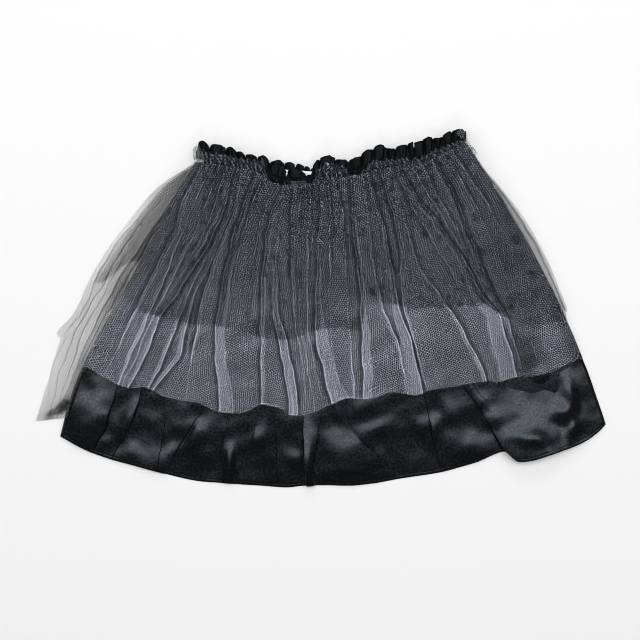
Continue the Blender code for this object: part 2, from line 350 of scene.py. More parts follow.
class Wiring:
    """Adds shader nodes to a tree and links what goes into them."""

    def __init__(self, tree: bpy.types.NodeTree) -> None:
        """Keep the tree."""
        self.tree = tree

    def add(self, kind: str, **settings: object) -> bpy.types.Node:
        """Add a node and set its properties."""
        node = self.tree.nodes.new(kind)
        for name, value in settings.items():
            setattr(node, name, value)
        return node

    def feed(self, socket: Socket, value: Value) -> None:
        """Link a socket to another, or set its value."""
        if isinstance(value, bpy.types.NodeSocket):
            self.tree.links.new(value, socket)
        else:
            socket.default_value = value

    def math(self, operation: str, *values: Value, clamp: bool = False) -> Socket:
        """Add a sum on numbers and give its result."""
        node = self.add("ShaderNodeMath", operation=operation, use_clamp=clamp)
        for socket, value in zip(node.inputs, values):
            self.feed(socket, value)
        return node.outputs[0]

    def vector(self, operation: str, *values: Value) -> Socket:
        """Add a sum on vectors and give its result."""
        node = self.add("ShaderNodeVectorMath", operation=operation)
        for socket, value in zip(node.inputs, values):
            self.feed(socket, value)
        gives_number = operation in ("LENGTH", "DOT_PRODUCT", "DISTANCE")
        return node.outputs["Value" if gives_number else "Vector"]

    def nearer(self, share: Value, far: Value, near: Value) -> Socket:
        """Mix two vectors by a share."""
        node = self.add("ShaderNodeMix", data_type="VECTOR")
        for index, value in ((0, share), (4, far), (5, near)):
            self.feed(node.inputs[index], value)
        return node.outputs[1]

    def noise(self, place: Value, scale: float, detail: float) -> Socket:
        """Add a noise and give its value from 0 to 1."""
        node = self.add("ShaderNodeTexNoise")
        self.feed(node.inputs["Vector"], place)
        node.inputs["Scale"].default_value = scale
        node.inputs["Detail"].default_value = detail
        return node.outputs["Fac"]

    def about_one(self, noise: Socket, reach: float) -> Socket:
        """Spread a noise about 1, by half of reach each way."""
        return self.math("MULTIPLY_ADD", noise, reach, 1.0 - 0.5 * reach)


def node_group(
    name: str, inputs: Sequence[tuple[str, str]], outputs: Sequence[tuple[str, str]]
) -> tuple[bpy.types.NodeTree, dict[str, Socket], dict[str, Socket]]:
    """Make a shader node group with named inputs and outputs.

    Args:
        name: the group's name.
        inputs: each input's name and socket kind.
        outputs: each output's name and socket kind.

    Returns:
        The group, its inputs as sockets to link from and its outputs as sockets to link to.
    """
    tree = bpy.data.node_groups.new(name, "ShaderNodeTree")
    for label, kind in inputs:
        tree.interface.new_socket(label, in_out="INPUT", socket_type=kind)
    for label, kind in outputs:
        tree.interface.new_socket(label, in_out="OUTPUT", socket_type=kind)
    entry, way_out = tree.nodes.new("NodeGroupInput"), tree.nodes.new("NodeGroupOutput")
    given = {label: entry.outputs[label] for label, _ in inputs}
    wanted = {label: way_out.inputs[label] for label, _ in outputs}
    return tree, given, wanted


FLOAT, VECTOR = "NodeSocketFloat", "NodeSocketVector"


@dataclass(frozen=True)
class NetWearAndGlints:
    """How a net varies, and its painted glints: the scales of its noises, each for one metre, and how far
    they reach.
    """

    drift_scale: float = 160.0
    drift: float = 0.45
    cloud_scale: float = 110.0
    cloud: float = 0.7
    speck_scale: float = 430.0
    least_specks: float = 0.06
    patch_scale: float = 60.0
    patch: float = 0.5
    glint_scale: float = 540.0
    least_glint: float = 0.12
    soft_edge: float = 0.05
    crowded: float = 2.6


NET_WEAR_AND_GLINTS = NetWearAndGlints()


def from_edge_of_hole(wire: Wiring, place: Socket, pitch: Socket) -> Socket:
    """Measure how far each place is from the edge of its six-sided hole.

    Args:
        wire: the group's wiring.
        place: the flat place on the net.
        pitch: how far apart the holes are.

    Returns:
        The distance as a share of the pitch, from 0 at the edge to a half in the middle.
    """
    row = math.sqrt(3.0)
    drift = wire.add("ShaderNodeTexNoise")
    wire.feed(drift.inputs["Vector"], place)
    drift.inputs["Scale"].default_value = NET_WEAR_AND_GLINTS.drift_scale
    drift.inputs["Detail"].default_value = 1.0
    swing = wire.vector("SUBTRACT", drift.outputs["Color"], (0.5, 0.5, 0.5))
    swing = wire.vector("MULTIPLY", swing, (NET_WEAR_AND_GLINTS.drift, NET_WEAR_AND_GLINTS.drift, 0.0))
    cells = wire.vector("DIVIDE", place, wire.vector("MULTIPLY", pitch, (1.0, 1.0, 1.0)))
    cells = wire.vector("ADD", cells, swing)
    offsets = []
    for shift in ((0.0, 0.0, 0.0), (0.5, 0.5 * row, 0.0)):
        wrapped = wire.add("ShaderNodeVectorMath", operation="WRAP")
        wire.feed(wrapped.inputs[0], wire.vector("SUBTRACT", cells, shift))
        wire.feed(wrapped.inputs[1], (0.5, 0.5 * row, 0.5))
        wire.feed(wrapped.inputs[2], (-0.5, -0.5 * row, -0.5))
        flat = wire.vector("MULTIPLY", wrapped.outputs["Vector"], (1.0, 1.0, 0.0))
        offsets.append(wire.vector("ABSOLUTE", flat))
    first, second = offsets
    is_first = wire.math("LESS_THAN", wire.vector("LENGTH", first), wire.vector("LENGTH", second))
    offset = wire.nearer(is_first, second, first)
    slant = wire.vector("DOT_PRODUCT", offset, (0.5, 0.5 * row, 0.0))
    parts = wire.add("ShaderNodeSeparateXYZ")
    wire.feed(parts.inputs[0], offset)
    return wire.math("SUBTRACT", 0.5, wire.math("MAXIMUM", parts.outputs["X"], slant))


def net_group() -> bpy.types.NodeTree:
    """Build the group that draws the six-sided holes of a net."""
    numbers = ("Hole Pitch", "Coverage", "Density", "Grit", "Glint", "Bunching")
    inputs = (("Place", VECTOR), *((name, FLOAT) for name in numbers))
    tree, given, wanted = node_group("net holes", inputs, (("Thread", FLOAT), ("Shade", FLOAT)))
    wire, wear, place = Wiring(tree), NET_WEAR_AND_GLINTS, given["Place"]
    from_edge = from_edge_of_hole(wire, place, given["Hole Pitch"])
    left_open = wire.math("SUBTRACT", 1.0, given["Coverage"])
    clouds = wire.about_one(wire.noise(place, wear.cloud_scale, 2.0), wear.cloud)
    specks = wire.math("SUBTRACT", wire.noise(place, wear.speck_scale, 1.0), 0.5)
    specks = wire.math("MULTIPLY_ADD", specks, given["Grit"], 1.0)
    clouds = wire.math("MULTIPLY", clouds, wire.math("MAXIMUM", specks, wear.least_specks))
    power = wire.math("MULTIPLY", wire.math("MULTIPLY", given["Density"], clouds), 0.5)
    hole = wire.math("POWER", left_open, power)
    half_thread = wire.math("MULTIPLY", wire.math("SUBTRACT", 1.0, hole), 0.5)
    inside = wire.math("DIVIDE", wire.math("SUBTRACT", half_thread, from_edge), wear.soft_edge)
    wire.feed(wanted["Thread"], wire.math("ADD", inside, 0.5, clamp=True))
    patches = wire.about_one(wire.noise(place, wear.patch_scale, 2.0), wear.patch)
    # Painted glints: random brighter and darker specks of thread colour.
    glints = wire.math("SUBTRACT", wire.noise(place, wear.glint_scale, 1.0), 0.5)
    glints = wire.math("MULTIPLY_ADD", glints, given["Glint"], 1.0)
    glints = wire.math("MAXIMUM", glints, wear.least_glint)
    # Where the threads crowd, Bunching paints shade into their colour, and below zero it paints highlight.
    above = wire.math("SUBTRACT", given["Density"], wear.crowded)
    bunched = wire.math("DIVIDE", above, wear.crowded, clamp=True)
    bunched = wire.math("SUBTRACT", 1.0, wire.math("MULTIPLY", bunched, given["Bunching"]))
    wire.feed(wanted["Shade"], wire.math("MULTIPLY", bunched, wire.math("MULTIPLY", patches, glints)))
    return tree


@dataclass(frozen=True)
class SatinWear:
    """How a satin varies: the scales of its noises, each for one metre, and how far they reach."""

    cloud_scale: float = 45.0
    cloud_shade: float = 0.6
    cloud_roughness: float = 0.10
    thread_scale: float = 430.0
    thread_roughness: float = 0.5
    thread_height: float = 0.12
    crumple_scale: float = 70.0
    crumple_height: float = 0.9


def satin_group() -> bpy.types.NodeTree:
    """Build the group that draws a satin's fine cross threads and faint cloudy wear."""
    tree, given, wanted = node_group(
        "satin threads",
        (("Place", VECTOR), ("Base Roughness", FLOAT)),
        (("Shade", FLOAT), ("Roughness", FLOAT), ("Height", FLOAT)),
    )
    wire, wear, place = Wiring(tree), SatinWear(), given["Place"]
    clouds = wire.noise(place, wear.cloud_scale, 4.0)
    wire.feed(wanted["Shade"], wire.about_one(clouds, wear.cloud_shade))
    threads = wire.noise(place, wear.thread_scale, 1.0)
    specks = wire.math("MULTIPLY_ADD", threads, wear.thread_roughness, given["Base Roughness"])
    wire.feed(wanted["Roughness"], wire.math("MULTIPLY_ADD", clouds, wear.cloud_roughness, specks))
    threads = wire.math("MULTIPLY", threads, wear.thread_height)
    crumple = wire.noise(place, wear.crumple_scale, 1.0)
    wire.feed(wanted["Height"], wire.math("MULTIPLY_ADD", crumple, wear.crumple_height, threads))
    return tree


class Finish:
    """What a piece's surface looks like."""

    name: str

    def material(self) -> bpy.types.Material:
        """Give the finish's material, made once."""
        found = bpy.data.materials.get(self.name)
        if found:
            return found
        made = bpy.data.materials.new(self.name)
        made.use_nodes = True
        self.wire(Wiring(made.node_tree), made.node_tree.nodes["Principled BSDF"])
        return made

    def wire(self, wire: Wiring, shader: bpy.types.Node) -> None:
        """Set and link the shader's sockets."""
        raise NotImplementedError


def shared_group(name: str, build: Callable[[], bpy.types.NodeTree]) -> bpy.types.NodeTree:
    """Give a node group, made once."""
    return bpy.data.node_groups.get(name) or build()


@dataclass(frozen=True)
class NetFinish(Finish):
    """A net of fine matt thread with six-sided holes.

    pitch is in mm, grit is how uneven its closeness is and glint how strong its painted glints are.
    bunching is how much its threads shade each other where they are crowded together; where it
    is below zero, they catch more light there.
    """

    name: str
    thread: tuple[float, float, float]
    coverage: float
    pitch: float = 2.1
    grit: float = 2.0
    glint: float = 4.0
    bunching: float = 0.0
    roughness: float = 0.75
    specular: float = 0.1

    def wire(self, wire: Wiring, shader: bpy.types.Node) -> None:
        """Cut the holes with the shader's alpha."""
        holes = wire.add("ShaderNodeGroup", node_tree=shared_group("net holes", net_group))
        place = wire.add("ShaderNodeUVMap", uv_map="Grain")
        closeness = wire.add("ShaderNodeAttribute", attribute_name=CLOSENESS)
        same_all_over = {
            "Hole Pitch": self.pitch * MM,
            "Coverage": self.coverage,
            "Grit": self.grit,
            "Glint": self.glint,
            "Bunching": self.bunching,
        }
        for name, value in same_all_over.items():
            holes.inputs[name].default_value = value
        wire.feed(holes.inputs["Place"], place.outputs["UV"])
        wire.feed(holes.inputs["Density"], closeness.outputs["Fac"])
        colour = wire.vector("SCALE", self.thread)
        wire.feed(colour.node.inputs["Scale"], holes.outputs["Shade"])
        wire.feed(shader.inputs["Base Color"], colour)
        wire.feed(shader.inputs["Alpha"], holes.outputs["Thread"])
        shader.inputs["Roughness"].default_value = self.roughness
        shader.inputs["Specular IOR Level"].default_value = self.specular


@dataclass(frozen=True)
class SatinFinish(Finish):
    """A smooth glossy satin."""

    name: str
    colour: tuple[float, float, float]
    roughness: float
    specular: float
    relief: float = 0.35
    tint: tuple[float, float, float] = (0.80, 0.90, 1.0)

    def wire(self, wire: Wiring, shader: bpy.types.Node) -> None:
        """Link the threads' colour, roughness and relief."""
        threads = wire.add("ShaderNodeGroup", node_tree=shared_group("satin threads", satin_group))
        place = wire.add("ShaderNodeUVMap", uv_map="Grain")
        wire.feed(threads.inputs["Place"], place.outputs["UV"])
        threads.inputs["Base Roughness"].default_value = self.roughness
        colour = wire.vector("SCALE", self.colour)
        wire.feed(colour.node.inputs["Scale"], threads.outputs["Shade"])
        wire.feed(shader.inputs["Base Color"], colour)
        wire.feed(shader.inputs["Roughness"], threads.outputs["Roughness"])
        shader.inputs["Specular IOR Level"].default_value = self.specular
        shader.inputs["Specular Tint"].default_value = (*self.tint, 1.0)
        bump = wire.add("ShaderNodeBump")
        bump.inputs["Strength"].default_value = 1.0
        bump.inputs["Distance"].default_value = self.relief * MM
        wire.feed(bump.inputs["Height"], threads.outputs["Height"])
        wire.feed(shader.inputs["Normal"], bump.outputs["Normal"])


@dataclass(frozen=True)
class PlainFinish(Finish):
    """One colour all over."""

    name: str
    colour: tuple[float, float, float]
    roughness: float = 0.8

    def wire(self, wire: Wiring, shader: bpy.types.Node) -> None:
        """Set the colour and roughness."""
        shader.inputs["Base Color"].default_value = (*self.colour, 1.0)
        shader.inputs["Roughness"].default_value = self.roughness


# GREY_NET's bunching below zero paints highlight on its crowded threads at the fold edges and hems;
# PALE_NET's paints shade on its bunched hem.
GREY_NET = NetFinish("grey net", (0.43, 0.455, 0.545), 0.26, 2.2, grit=2.0, glint=3.2, bunching=-0.8)
FRILL_NET = NetFinish("grey net, frill", (0.28, 0.30, 0.36), 0.20, 2.1)
PALE_NET = NetFinish("grey net, back", (0.15, 0.149, 0.145), 0.212, 1.8, bunching=0.75)
DARK_NET = NetFinish("charcoal net", (0.018, 0.019, 0.025), 0.39, 2.5, grit=5.0)
DARK_BACK_NET = NetFinish("charcoal net, back", (0.018, 0.019, 0.025), 0.36, 1.8, grit=3.0)
BLACK_SATIN = SatinFinish("black satin", (0.0024, 0.0027, 0.0032), roughness=0.00, specular=0.55)
GATHERED_SATIN = SatinFinish("black satin, gathered", (0.0022, 0.0024, 0.0028), roughness=0.12, specular=0.09)
WHITE_TAPE = PlainFinish("white tape", (0.95, 0.95, 0.95))
PALE_FLOOR = PlainFinish("pale floor", (0.96, 0.96, 0.96), 0.9)
GREY_THREAD = PlainFinish("grey thread", (0.11, 0.115, 0.13), 0.6)


class Slot(Enum):
    """The record's material slots."""

    SATIN = "satin"
    GREY_TULLE = "grey_tulle"
    DARK_TULLE = "dark_tulle"
    LABEL_TAPE = "label_tape"


# ---------------------------------------------------------------- sheets of cloth


@dataclass(frozen=True)
class Cut:
    """The flat size of what is cut for one piece, m, and how it is held."""

    width: float
    length: float
    area: Optional[float] = None
    held: str = "gathered"


@dataclass
class Weave:
    """A grid of cloth: its rows run down the cloth, and each band of columns is flat by itself."""

    points: Array
    density: Array
    bands: list[tuple[int, int]] = field(default_factory=list)


# Where a strip's grain may start along each side, mm.
GRAIN_STARTS = (0.0, 90.0)
# The least length that a heading is divided by, mm.
LEAST_HEADING = 1e-9


def grain(points: Array, turn: float, offset: tuple[float, float]) -> Array:
    """Lay one band of a weave flat, so that a pattern on it keeps its size.

    Args:
        points: the band's points, rows by columns, mm.
        turn: how far the grain is turned from the band's middle line, radians.
        offset: where the pattern starts, mm.

    Returns:
        The flat place of each point, m.
    """
    middle = points.shape[1] // 2
    line = points[:, middle]
    step = np.linalg.norm(np.diff(line, axis=0), axis=1)
    down = np.concatenate([[0.0], np.cumsum(step)])
    heading = np.gradient(line, axis=0)
    heading /= np.maximum(np.linalg.norm(heading, axis=1, keepdims=True), LEAST_HEADING)
    gap = np.linalg.norm(np.diff(points, axis=1), axis=2)
    reach = np.concatenate([np.zeros((len(points), 1)), np.cumsum(gap, axis=1)], axis=1)
    reach = reach - reach[:, middle : middle + 1]
    lean = ((points - line[:, None]) * heading[:, None]).sum(axis=2)
    across = np.sign(reach) * np.sqrt(np.maximum(reach**2 - lean**2, 0.0))
    ahead = down[:, None] + lean
    u = across * math.cos(turn) - ahead * math.sin(turn) + offset[0]
    v = across * math.sin(turn) + ahead * math.cos(turn) + offset[1]
    return np.stack([u, v], axis=2) * MM


@dataclass
class Cloth:
    """A piece of cloth made of one or more weaves."""

    name: str
    finish: Finish
    slot: Slot
    cad_nodes: tuple[str, ...]
    weaves: list[Weave] = field(default_factory=list)
    thickness: float = 0.0
    turn: tuple[float, float] = (0.05, 0.50)
    cut: Optional[Cut] = None

    def build(self, seed: int, sewn_on: Sequence[bpy.types.Object] = ()) -> bpy.types.Object:
        """Make the mesh with its grain, density and finish, and set it in the frame.

        Args:
            seed: fixes the grain of each band.
            sewn_on: the separate pieces on it; not used.

        Returns:
            The piece.
        """
        chance = np.random.default_rng(seed)
        vertices, faces, grains, density = [], [], [], []
        start = 0
        for weave in self.weaves:
            rows, columns = weave.points.shape[:2]
            index = start + np.arange(rows * columns).reshape(rows, columns)
            vertices.append(weave.points.reshape(-1, 3) * MM)
            density.append(weave.density.reshape(-1))
            for low, high in weave.bands or [(0, columns - 1)]:
                ids = index[:, low : high + 1]
                offset = tuple(chance.uniform(*GRAIN_STARTS, 2))
                flat = grain(weave.points[:, low : high + 1], chance.uniform(*self.turn), offset)
                faces.append(self._corners(ids[..., None]).reshape(-1, 4))
                grains.append(self._corners(flat).reshape(-1, 2))
            start += rows * columns
        mesh = bpy.data.meshes.new(self.name)
        mesh.from_pydata(np.concatenate(vertices).tolist(), [], np.concatenate(faces).tolist())
        mesh.uv_layers.new(name="Grain").data.foreach_set("uv", np.concatenate(grains).reshape(-1))
        layer = mesh.attributes.new(CLOSENESS, "FLOAT", "POINT")
        layer.data.foreach_set("value", np.concatenate(density).astype(np.float32))
        mesh.polygons.foreach_set("use_smooth", np.ones(len(mesh.polygons), bool))
        mesh.materials.append(self.finish.material())
        mesh.update()
        piece = place(self.name, mesh, self.slot, self.cad_nodes)
        if self.thickness:
            shell = piece.modifiers.new("thickness", "SOLIDIFY")
            shell.thickness = self.thickness * MM
            shell.offset = -1.0
        area = sum(face.area for face in mesh.polygons)
        log.info("%s: %d faces, %.4f m2", self.name, len(mesh.polygons), area)
        return piece

    @staticmethod
    def _corners(grid: Array) -> Array:
        """Give the four corners of every square of a grid."""
        parts = (grid[:-1, :-1], grid[1:, :-1], grid[1:, 1:], grid[:-1, 1:])
        return np.stack(parts, axis=2)


def place(name: str, mesh: bpy.types.Mesh, slot: Slot, cad_nodes: Sequence[str]) -> bpy.types.Object:
    """Set a piece in the frame, for the CAD nodes that it stands for."""
    piece = bpy.data.objects.new(name, mesh)
    bpy.context.collection.objects.link(piece)
    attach(piece, ROOT)
    if cad_nodes:
        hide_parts(*cad_nodes)
    return piece


class Facing(Enum):
    """Which way a pleat's upper edge faces."""

    LEFT = -1
    RIGHT = 1


@dataclass(frozen=True)
class Pleat:
    """A fold of a panel: its upper edge and the width of cloth turned under, at each level."""

    name: str
    facing: Facing
    stations: Sizes
    widths: Sizes


LEFT, RIGHT = Facing.LEFT, Facing.RIGHT

NET_LEVELS = (0.04, 0.14, 0.24, 0.34, 0.44, 0.54, 0.64, 0.75)
FOLD_SHARES = (0.5, 0.5, 0.5, 0.5, 0.6, 0.8, 1.0, 1.0)
NET_PLEATS = (
    Pleat("left side", LEFT, (0.028, 0.033, 0.053, 0.052, 0.05, 0.048, 0.045, 0.04),
          (3, 7, 8, 6, 4, 2, 1, 0)),
    Pleat("left crease", RIGHT, (0.07, 0.075, 0.08, 0.084, 0.087, 0.085, 0.082, 0.078),
          (1, 2, 2, 2.5, 4, 4, 3, 2)),
    Pleat("left long", RIGHT, (0.165, 0.177, 0.167, 0.148, 0.127, 0.111, 0.111, 0.099),
          (5, 8, 11, 14, 16, 17, 17, 11)),
    Pleat("left pair low", RIGHT, (0.178, 0.188, 0.18, 0.166, 0.154, 0.152, 0.146, 0.136),
          (0, 0, 0.5, 2, 3, 3, 3, 2)),
    Pleat("left pair high", RIGHT, (0.186, 0.198, 0.192, 0.182, 0.169, 0.174, 0.173, 0.142),
          (0, 0.5, 1, 2, 3, 4, 4, 2)),
    Pleat("left minor", LEFT, (0.196, 0.206, 0.198, 0.19, 0.19, 0.195, 0.2, 0.205),
          (2, 4, 5, 6, 5, 3, 1, 0.5)),
    Pleat("left wide", LEFT, (0.242, 0.229, 0.225, 0.226, 0.231, 0.237, 0.253, 0.272),
          (6, 8, 12, 15, 14, 12, 12, 14)),
    Pleat("dip left", LEFT, (0.361, 0.325, 0.323, 0.324, 0.332, 0.34, 0.348, 0.355),
          (4, 7, 8.5, 8.5, 6, 4, 3, 2)),
    Pleat("dip pair left", LEFT, (0.38, 0.35, 0.348, 0.352, 0.362, 0.381, 0.4, 0.412),
          (0, 0, 0.5, 1, 2.5, 3.5, 4, 4)),
    Pleat("dip pair right", RIGHT, (0.388, 0.362, 0.358, 0.364, 0.375, 0.401, 0.419, 0.431),
          (0, 0, 1, 2, 3, 4, 5, 5)),
    Pleat("dip short", LEFT, (0.4, 0.395, 0.402, 0.407, 0.415, 0.428, 0.44, 0.45),
          (4, 5, 5.5, 5, 2.5, 1, 0.5, 0.3)),
    Pleat("middle wedge", LEFT, (0.5, 0.494, 0.479, 0.476, 0.469, 0.471, 0.485, 0.5),
          (3, 4, 4, 7, 10, 14, 11, 17)),
    Pleat("middle short", RIGHT, (0.559, 0.566, 0.56, 0.555, 0.55, 0.548, 0.546, 0.545),
          (4, 5, 3.5, 2, 1, 1, 1, 1)),
    Pleat("middle long", LEFT, (0.611, 0.594, 0.587, 0.586, 0.58, 0.573, 0.567, 0.56),
          (5, 7, 8, 8.5, 8.5, 8.5, 8.5, 8)),
    Pleat("middle thin", RIGHT, (0.655, 0.644, 0.633, 0.63, 0.631, 0.648, 0.65, 0.652),
          (2, 2.5, 3, 3, 3, 3, 1.5, 0.5)),
    Pleat("facing right", RIGHT, (0.676, 0.679, 0.678, 0.673, 0.669, 0.676, 0.68, 0.68),
          (4, 5, 6, 7, 9, 11, 14, 13)),
    Pleat("facing left", LEFT, (0.715, 0.713, 0.71, 0.694, 0.679, 0.683, 0.686, 0.688),
          (4, 5, 6, 6, 4, 2, 1, 0.5)),
    Pleat("right thin", RIGHT, (0.745, 0.742, 0.74, 0.742, 0.768, 0.789, 0.804, 0.819),
          (0, 1, 2, 3, 3, 3.5, 3.5, 3)),
    Pleat("right strong", RIGHT, (0.779, 0.8, 0.832, 0.861, 0.872, 0.893, 0.892, 0.892),
          (7, 10, 12, 14, 16, 17, 16, 15)),
    Pleat("right minor", RIGHT, (0.849, 0.858, 0.871, 0.876, 0.882, 0.898, 0.898, 0.898),
          (3, 3, 3, 2.5, 1, 0.3, 0.1, 0.1)),
    Pleat("right second", RIGHT, (0.891, 0.899, 0.895, 0.892, 0.895, 0.903, 0.903, 0.903),
          (8, 10, 11, 10, 8, 4, 1, 0.3)),
    Pleat("right short", RIGHT, (0.925, 0.937, 0.935, 0.932, 0.93, 0.93, 0.93, 0.93),
          (3, 3, 1, 0.5, 0.3, 0.3, 0.3, 0.3)),
    Pleat("right side", RIGHT, (0.955, 0.962, 0.965, 0.965, 0.965, 0.965, 0.965, 0.965),
          (3, 3, 2, 1, 0.5, 0.3, 0.2, 0.1)),
)

SATIN_LEVELS = (0.05, 0.30, 0.55, 0.75, 0.83, 0.90, 0.96, 1.00)
SATIN_PLEATS = (
    Pleat("left end", RIGHT, (0.06, 0.068, 0.072, 0.075, 0.08, 0.082, 0.076, 0.073),
          (1, 1, 1, 0.6, 0.3, 1.5, 2, 0.6)),
    Pleat("left second", RIGHT, (0.11, 0.118, 0.122, 0.125, 0.126, 0.121, 0.115, 0.11),
          (1, 1.5, 1.5, 1.5, 1.2, 0.5, 0.2, 0.1)),
    Pleat("left dark", RIGHT, (0.15, 0.156, 0.162, 0.166, 0.18, 0.184, 0.186, 0.188),
          (1, 1, 1, 0.5, 0.2, 0.1, 0.1, 0.1)),
    Pleat("left glare", RIGHT, (0.25, 0.25, 0.25, 0.246, 0.229, 0.215, 0.206, 0.199),
          (1, 1, 1, 0.8, 1.5, 3, 4, 4)),
    Pleat("left inner", LEFT, (0.29, 0.29, 0.291, 0.291, 0.288, 0.287, 0.288, 0.289),
          (1, 1, 1.5, 1.5, 2, 2, 1.5, 0.8)),
    Pleat("dip crease", LEFT, (0.37, 0.365, 0.36, 0.354, 0.343, 0.33, 0.322, 0.318),
          (0.5, 0.6, 0.6, 0.5, 0.3, 0.2, 0.1, 0.1)),
    Pleat("dip line", RIGHT, (0.385, 0.383, 0.381, 0.381, 0.388, 0.392, 0.395, 0.396),
          (0.5, 0.8, 1, 1, 0.3, 0.1, 0.1, 0.1)),
    Pleat("middle left", LEFT, (0.44, 0.44, 0.44, 0.44, 0.44, 0.441, 0.445, 0.448),
          (1, 1, 1.5, 1.2, 1.2, 1.2, 0.8, 0.3)),
    Pleat("middle crease", RIGHT, (0.475, 0.478, 0.479, 0.479, 0.47, 0.463, 0.462, 0.462),
          (1, 1, 1.2, 1.5, 1.5, 0.8, 0.3, 0.1)),
    Pleat("middle slant", RIGHT, (0.49, 0.495, 0.5, 0.504, 0.537, 0.567, 0.592, 0.612),
          (0.5, 1, 1.2, 1.5, 1.5, 1.5, 1.2, 0.4)),
    Pleat("right minor", LEFT, (0.68, 0.68, 0.681, 0.681, 0.682, 0.682, 0.683, 0.684),
          (1, 1.2, 1.5, 2, 2, 0.8, 0.2, 0.1)),
    Pleat("right step", LEFT, (0.74, 0.75, 0.757, 0.765, 0.782, 0.797, 0.81, 0.82),
          (1, 3, 6, 9, 11, 13, 14, 15)),
)


@dataclass(frozen=True)
class Patch:
    """A soft oval place on a sheet: a centre, two half sizes and a turn in degrees."""

    x: float
    y: float
    half_length: float
    half_width: float
    turn: float

    def window(self, x: Array, y: Array) -> Array:
        """Give how much of the patch reaches each place, 1 at its centre."""
        turn = math.radians(self.turn)
        along_it = (x - self.x) * math.cos(turn) + (y - self.y) * math.sin(turn)
        across_it = (y - self.y) * math.cos(turn) - (x - self.x) * math.sin(turn)
        return np.exp(-((along_it / self.half_length) ** 2) - (across_it / self.half_width) ** 2)


@dataclass(frozen=True)
class Swell(Patch):
    """A soft hill in a sheet."""

    rise: float

    def lift(self, x: Array, y: Array) -> Array:
        """Give the hill's height at each place, mm."""
        return self.rise * self.window(x, y)


@dataclass(frozen=True)
class Lean(Patch):
    """A soft patch of a sheet that leans towards the waist, and so takes the light.

    It keeps between the two pleats that it names, or runs on past the folds if it names none.
    """

    slope: float
    after: str = ""
    before: str = ""
    shoulder: float = 0.6

    def lift(self, x: Array, y: Array) -> Array:
        """Give the patch's height at each place, mm."""
        turn = math.radians(self.turn)
        reach = math.hypot(self.half_length * math.sin(turn), self.half_width * math.cos(turn))
        return (self.shoulder * abs(self.slope) * reach - self.slope * (y - self.y)) * self.window(x, y)


@dataclass(frozen=True)
class Spot(Patch):
    """A place where a net's threads lie closer, or further apart, by its gain."""

    gain: float

    def factor(self, x: Array, y: Array) -> Array:
        """Give what the net's density is multiplied by at each place."""
        return 1.0 + self.gain * self.window(x, y)


# Where a random wave may start, in radians: anywhere in about a whole turn.
ANY_TURN = (0.0, 6.3)


@dataclass(frozen=True)
class Streaks:
    """Faint long streaks that run down a sheet, as waves across its stations."""

    seed: int
    low: float
    high: float
    count: int = 14
    drift: float = 1.6
    gain: float = 0.6

    def read(self, station: Array, share: Array) -> Array:
        """Give the streaks' strength at each place, mostly from -1 to 1."""
        chance = np.random.default_rng(self.seed)
        total = np.zeros(np.broadcast(station, share).shape)
        for _ in range(self.count):
            waves = chance.uniform(self.low, self.high)
            phase, drift = chance.uniform(0.0, 2.0 * math.pi), chance.normal(0.0, self.drift)
            total = total + np.sin(2.0 * math.pi * waves * station + phase + drift * share)
        return total * math.sqrt(2.0 / self.count) * self.gain


@dataclass(frozen=True)
class Drape:
    """How a sheet lies: its gap to what is beneath, how far it bridges and how it folds."""

    gap: float = 0.25
    bridge: float = 4.5
    fold_rise: float = 1.5
    gather_rise: float = 0.6
    gather_fade: float = 0.16
    fullness: float = 0.6
    fullness_fade: float = 0.14
    edge_density: float = 7.0
    under_edge_density: float = 1.7
    under_closeness: float = 0.4
    over_closeness: float = 1.8
    # dip thins a net in a band beside each pleat's upper edge, so that the black satin shows through as
    # painted shade; below zero it makes a dark net closer there, painting the same shade.
    dip: float = 0.95
    painted_shade_width: float = 1.3
    streak: float = 0.12
    closeness: float = 1.0
    wobble: float = 0.35
    crumple: float = 0.0
    hem_roll: float = 0.0
    bright_hems: tuple[tuple[float, float], ...] = ()


# The waves of a limp cloth: how many, the length of one that is 1 high, their lengths, mm, and seed.
CRUMPLE_WAVES = 22
CRUMPLE_FULL_LENGTH = 30.0
CRUMPLE_LENGTHS = (14.0, 44.0)
CRUMPLE_SEED = 77


def crumples(x: Array, y: Array) -> Array:
    """Give the small uneven waves of a limp cloth at each place, mostly from -1 to 1."""
    chance = np.random.default_rng(CRUMPLE_SEED)
    total = np.zeros(np.shape(x))
    for _ in range(CRUMPLE_WAVES):
        turn, wave = chance.uniform(0.0, 2.0 * math.pi), chance.uniform(*CRUMPLE_LENGTHS)
        place = x * math.cos(turn) + y * math.sin(turn)
        swing = np.sin(2.0 * math.pi * place / wave + chance.uniform(*ANY_TURN))
        total = total + swing * wave / CRUMPLE_FULL_LENGTH
    return total / math.sqrt(CRUMPLE_WAVES / 2.0)


@dataclass(frozen=True)
class Fold:
    """A pleat as it runs down one sheet: on each row its edge, and its width in stations and mm."""

    pleat: Pleat
    edge: Array
    breadth: Array
    width: Array

    def faces(self, side: Facing) -> bool:
        """Tell if the pleat's upper edge faces a side."""
        return self.pleat.facing is side


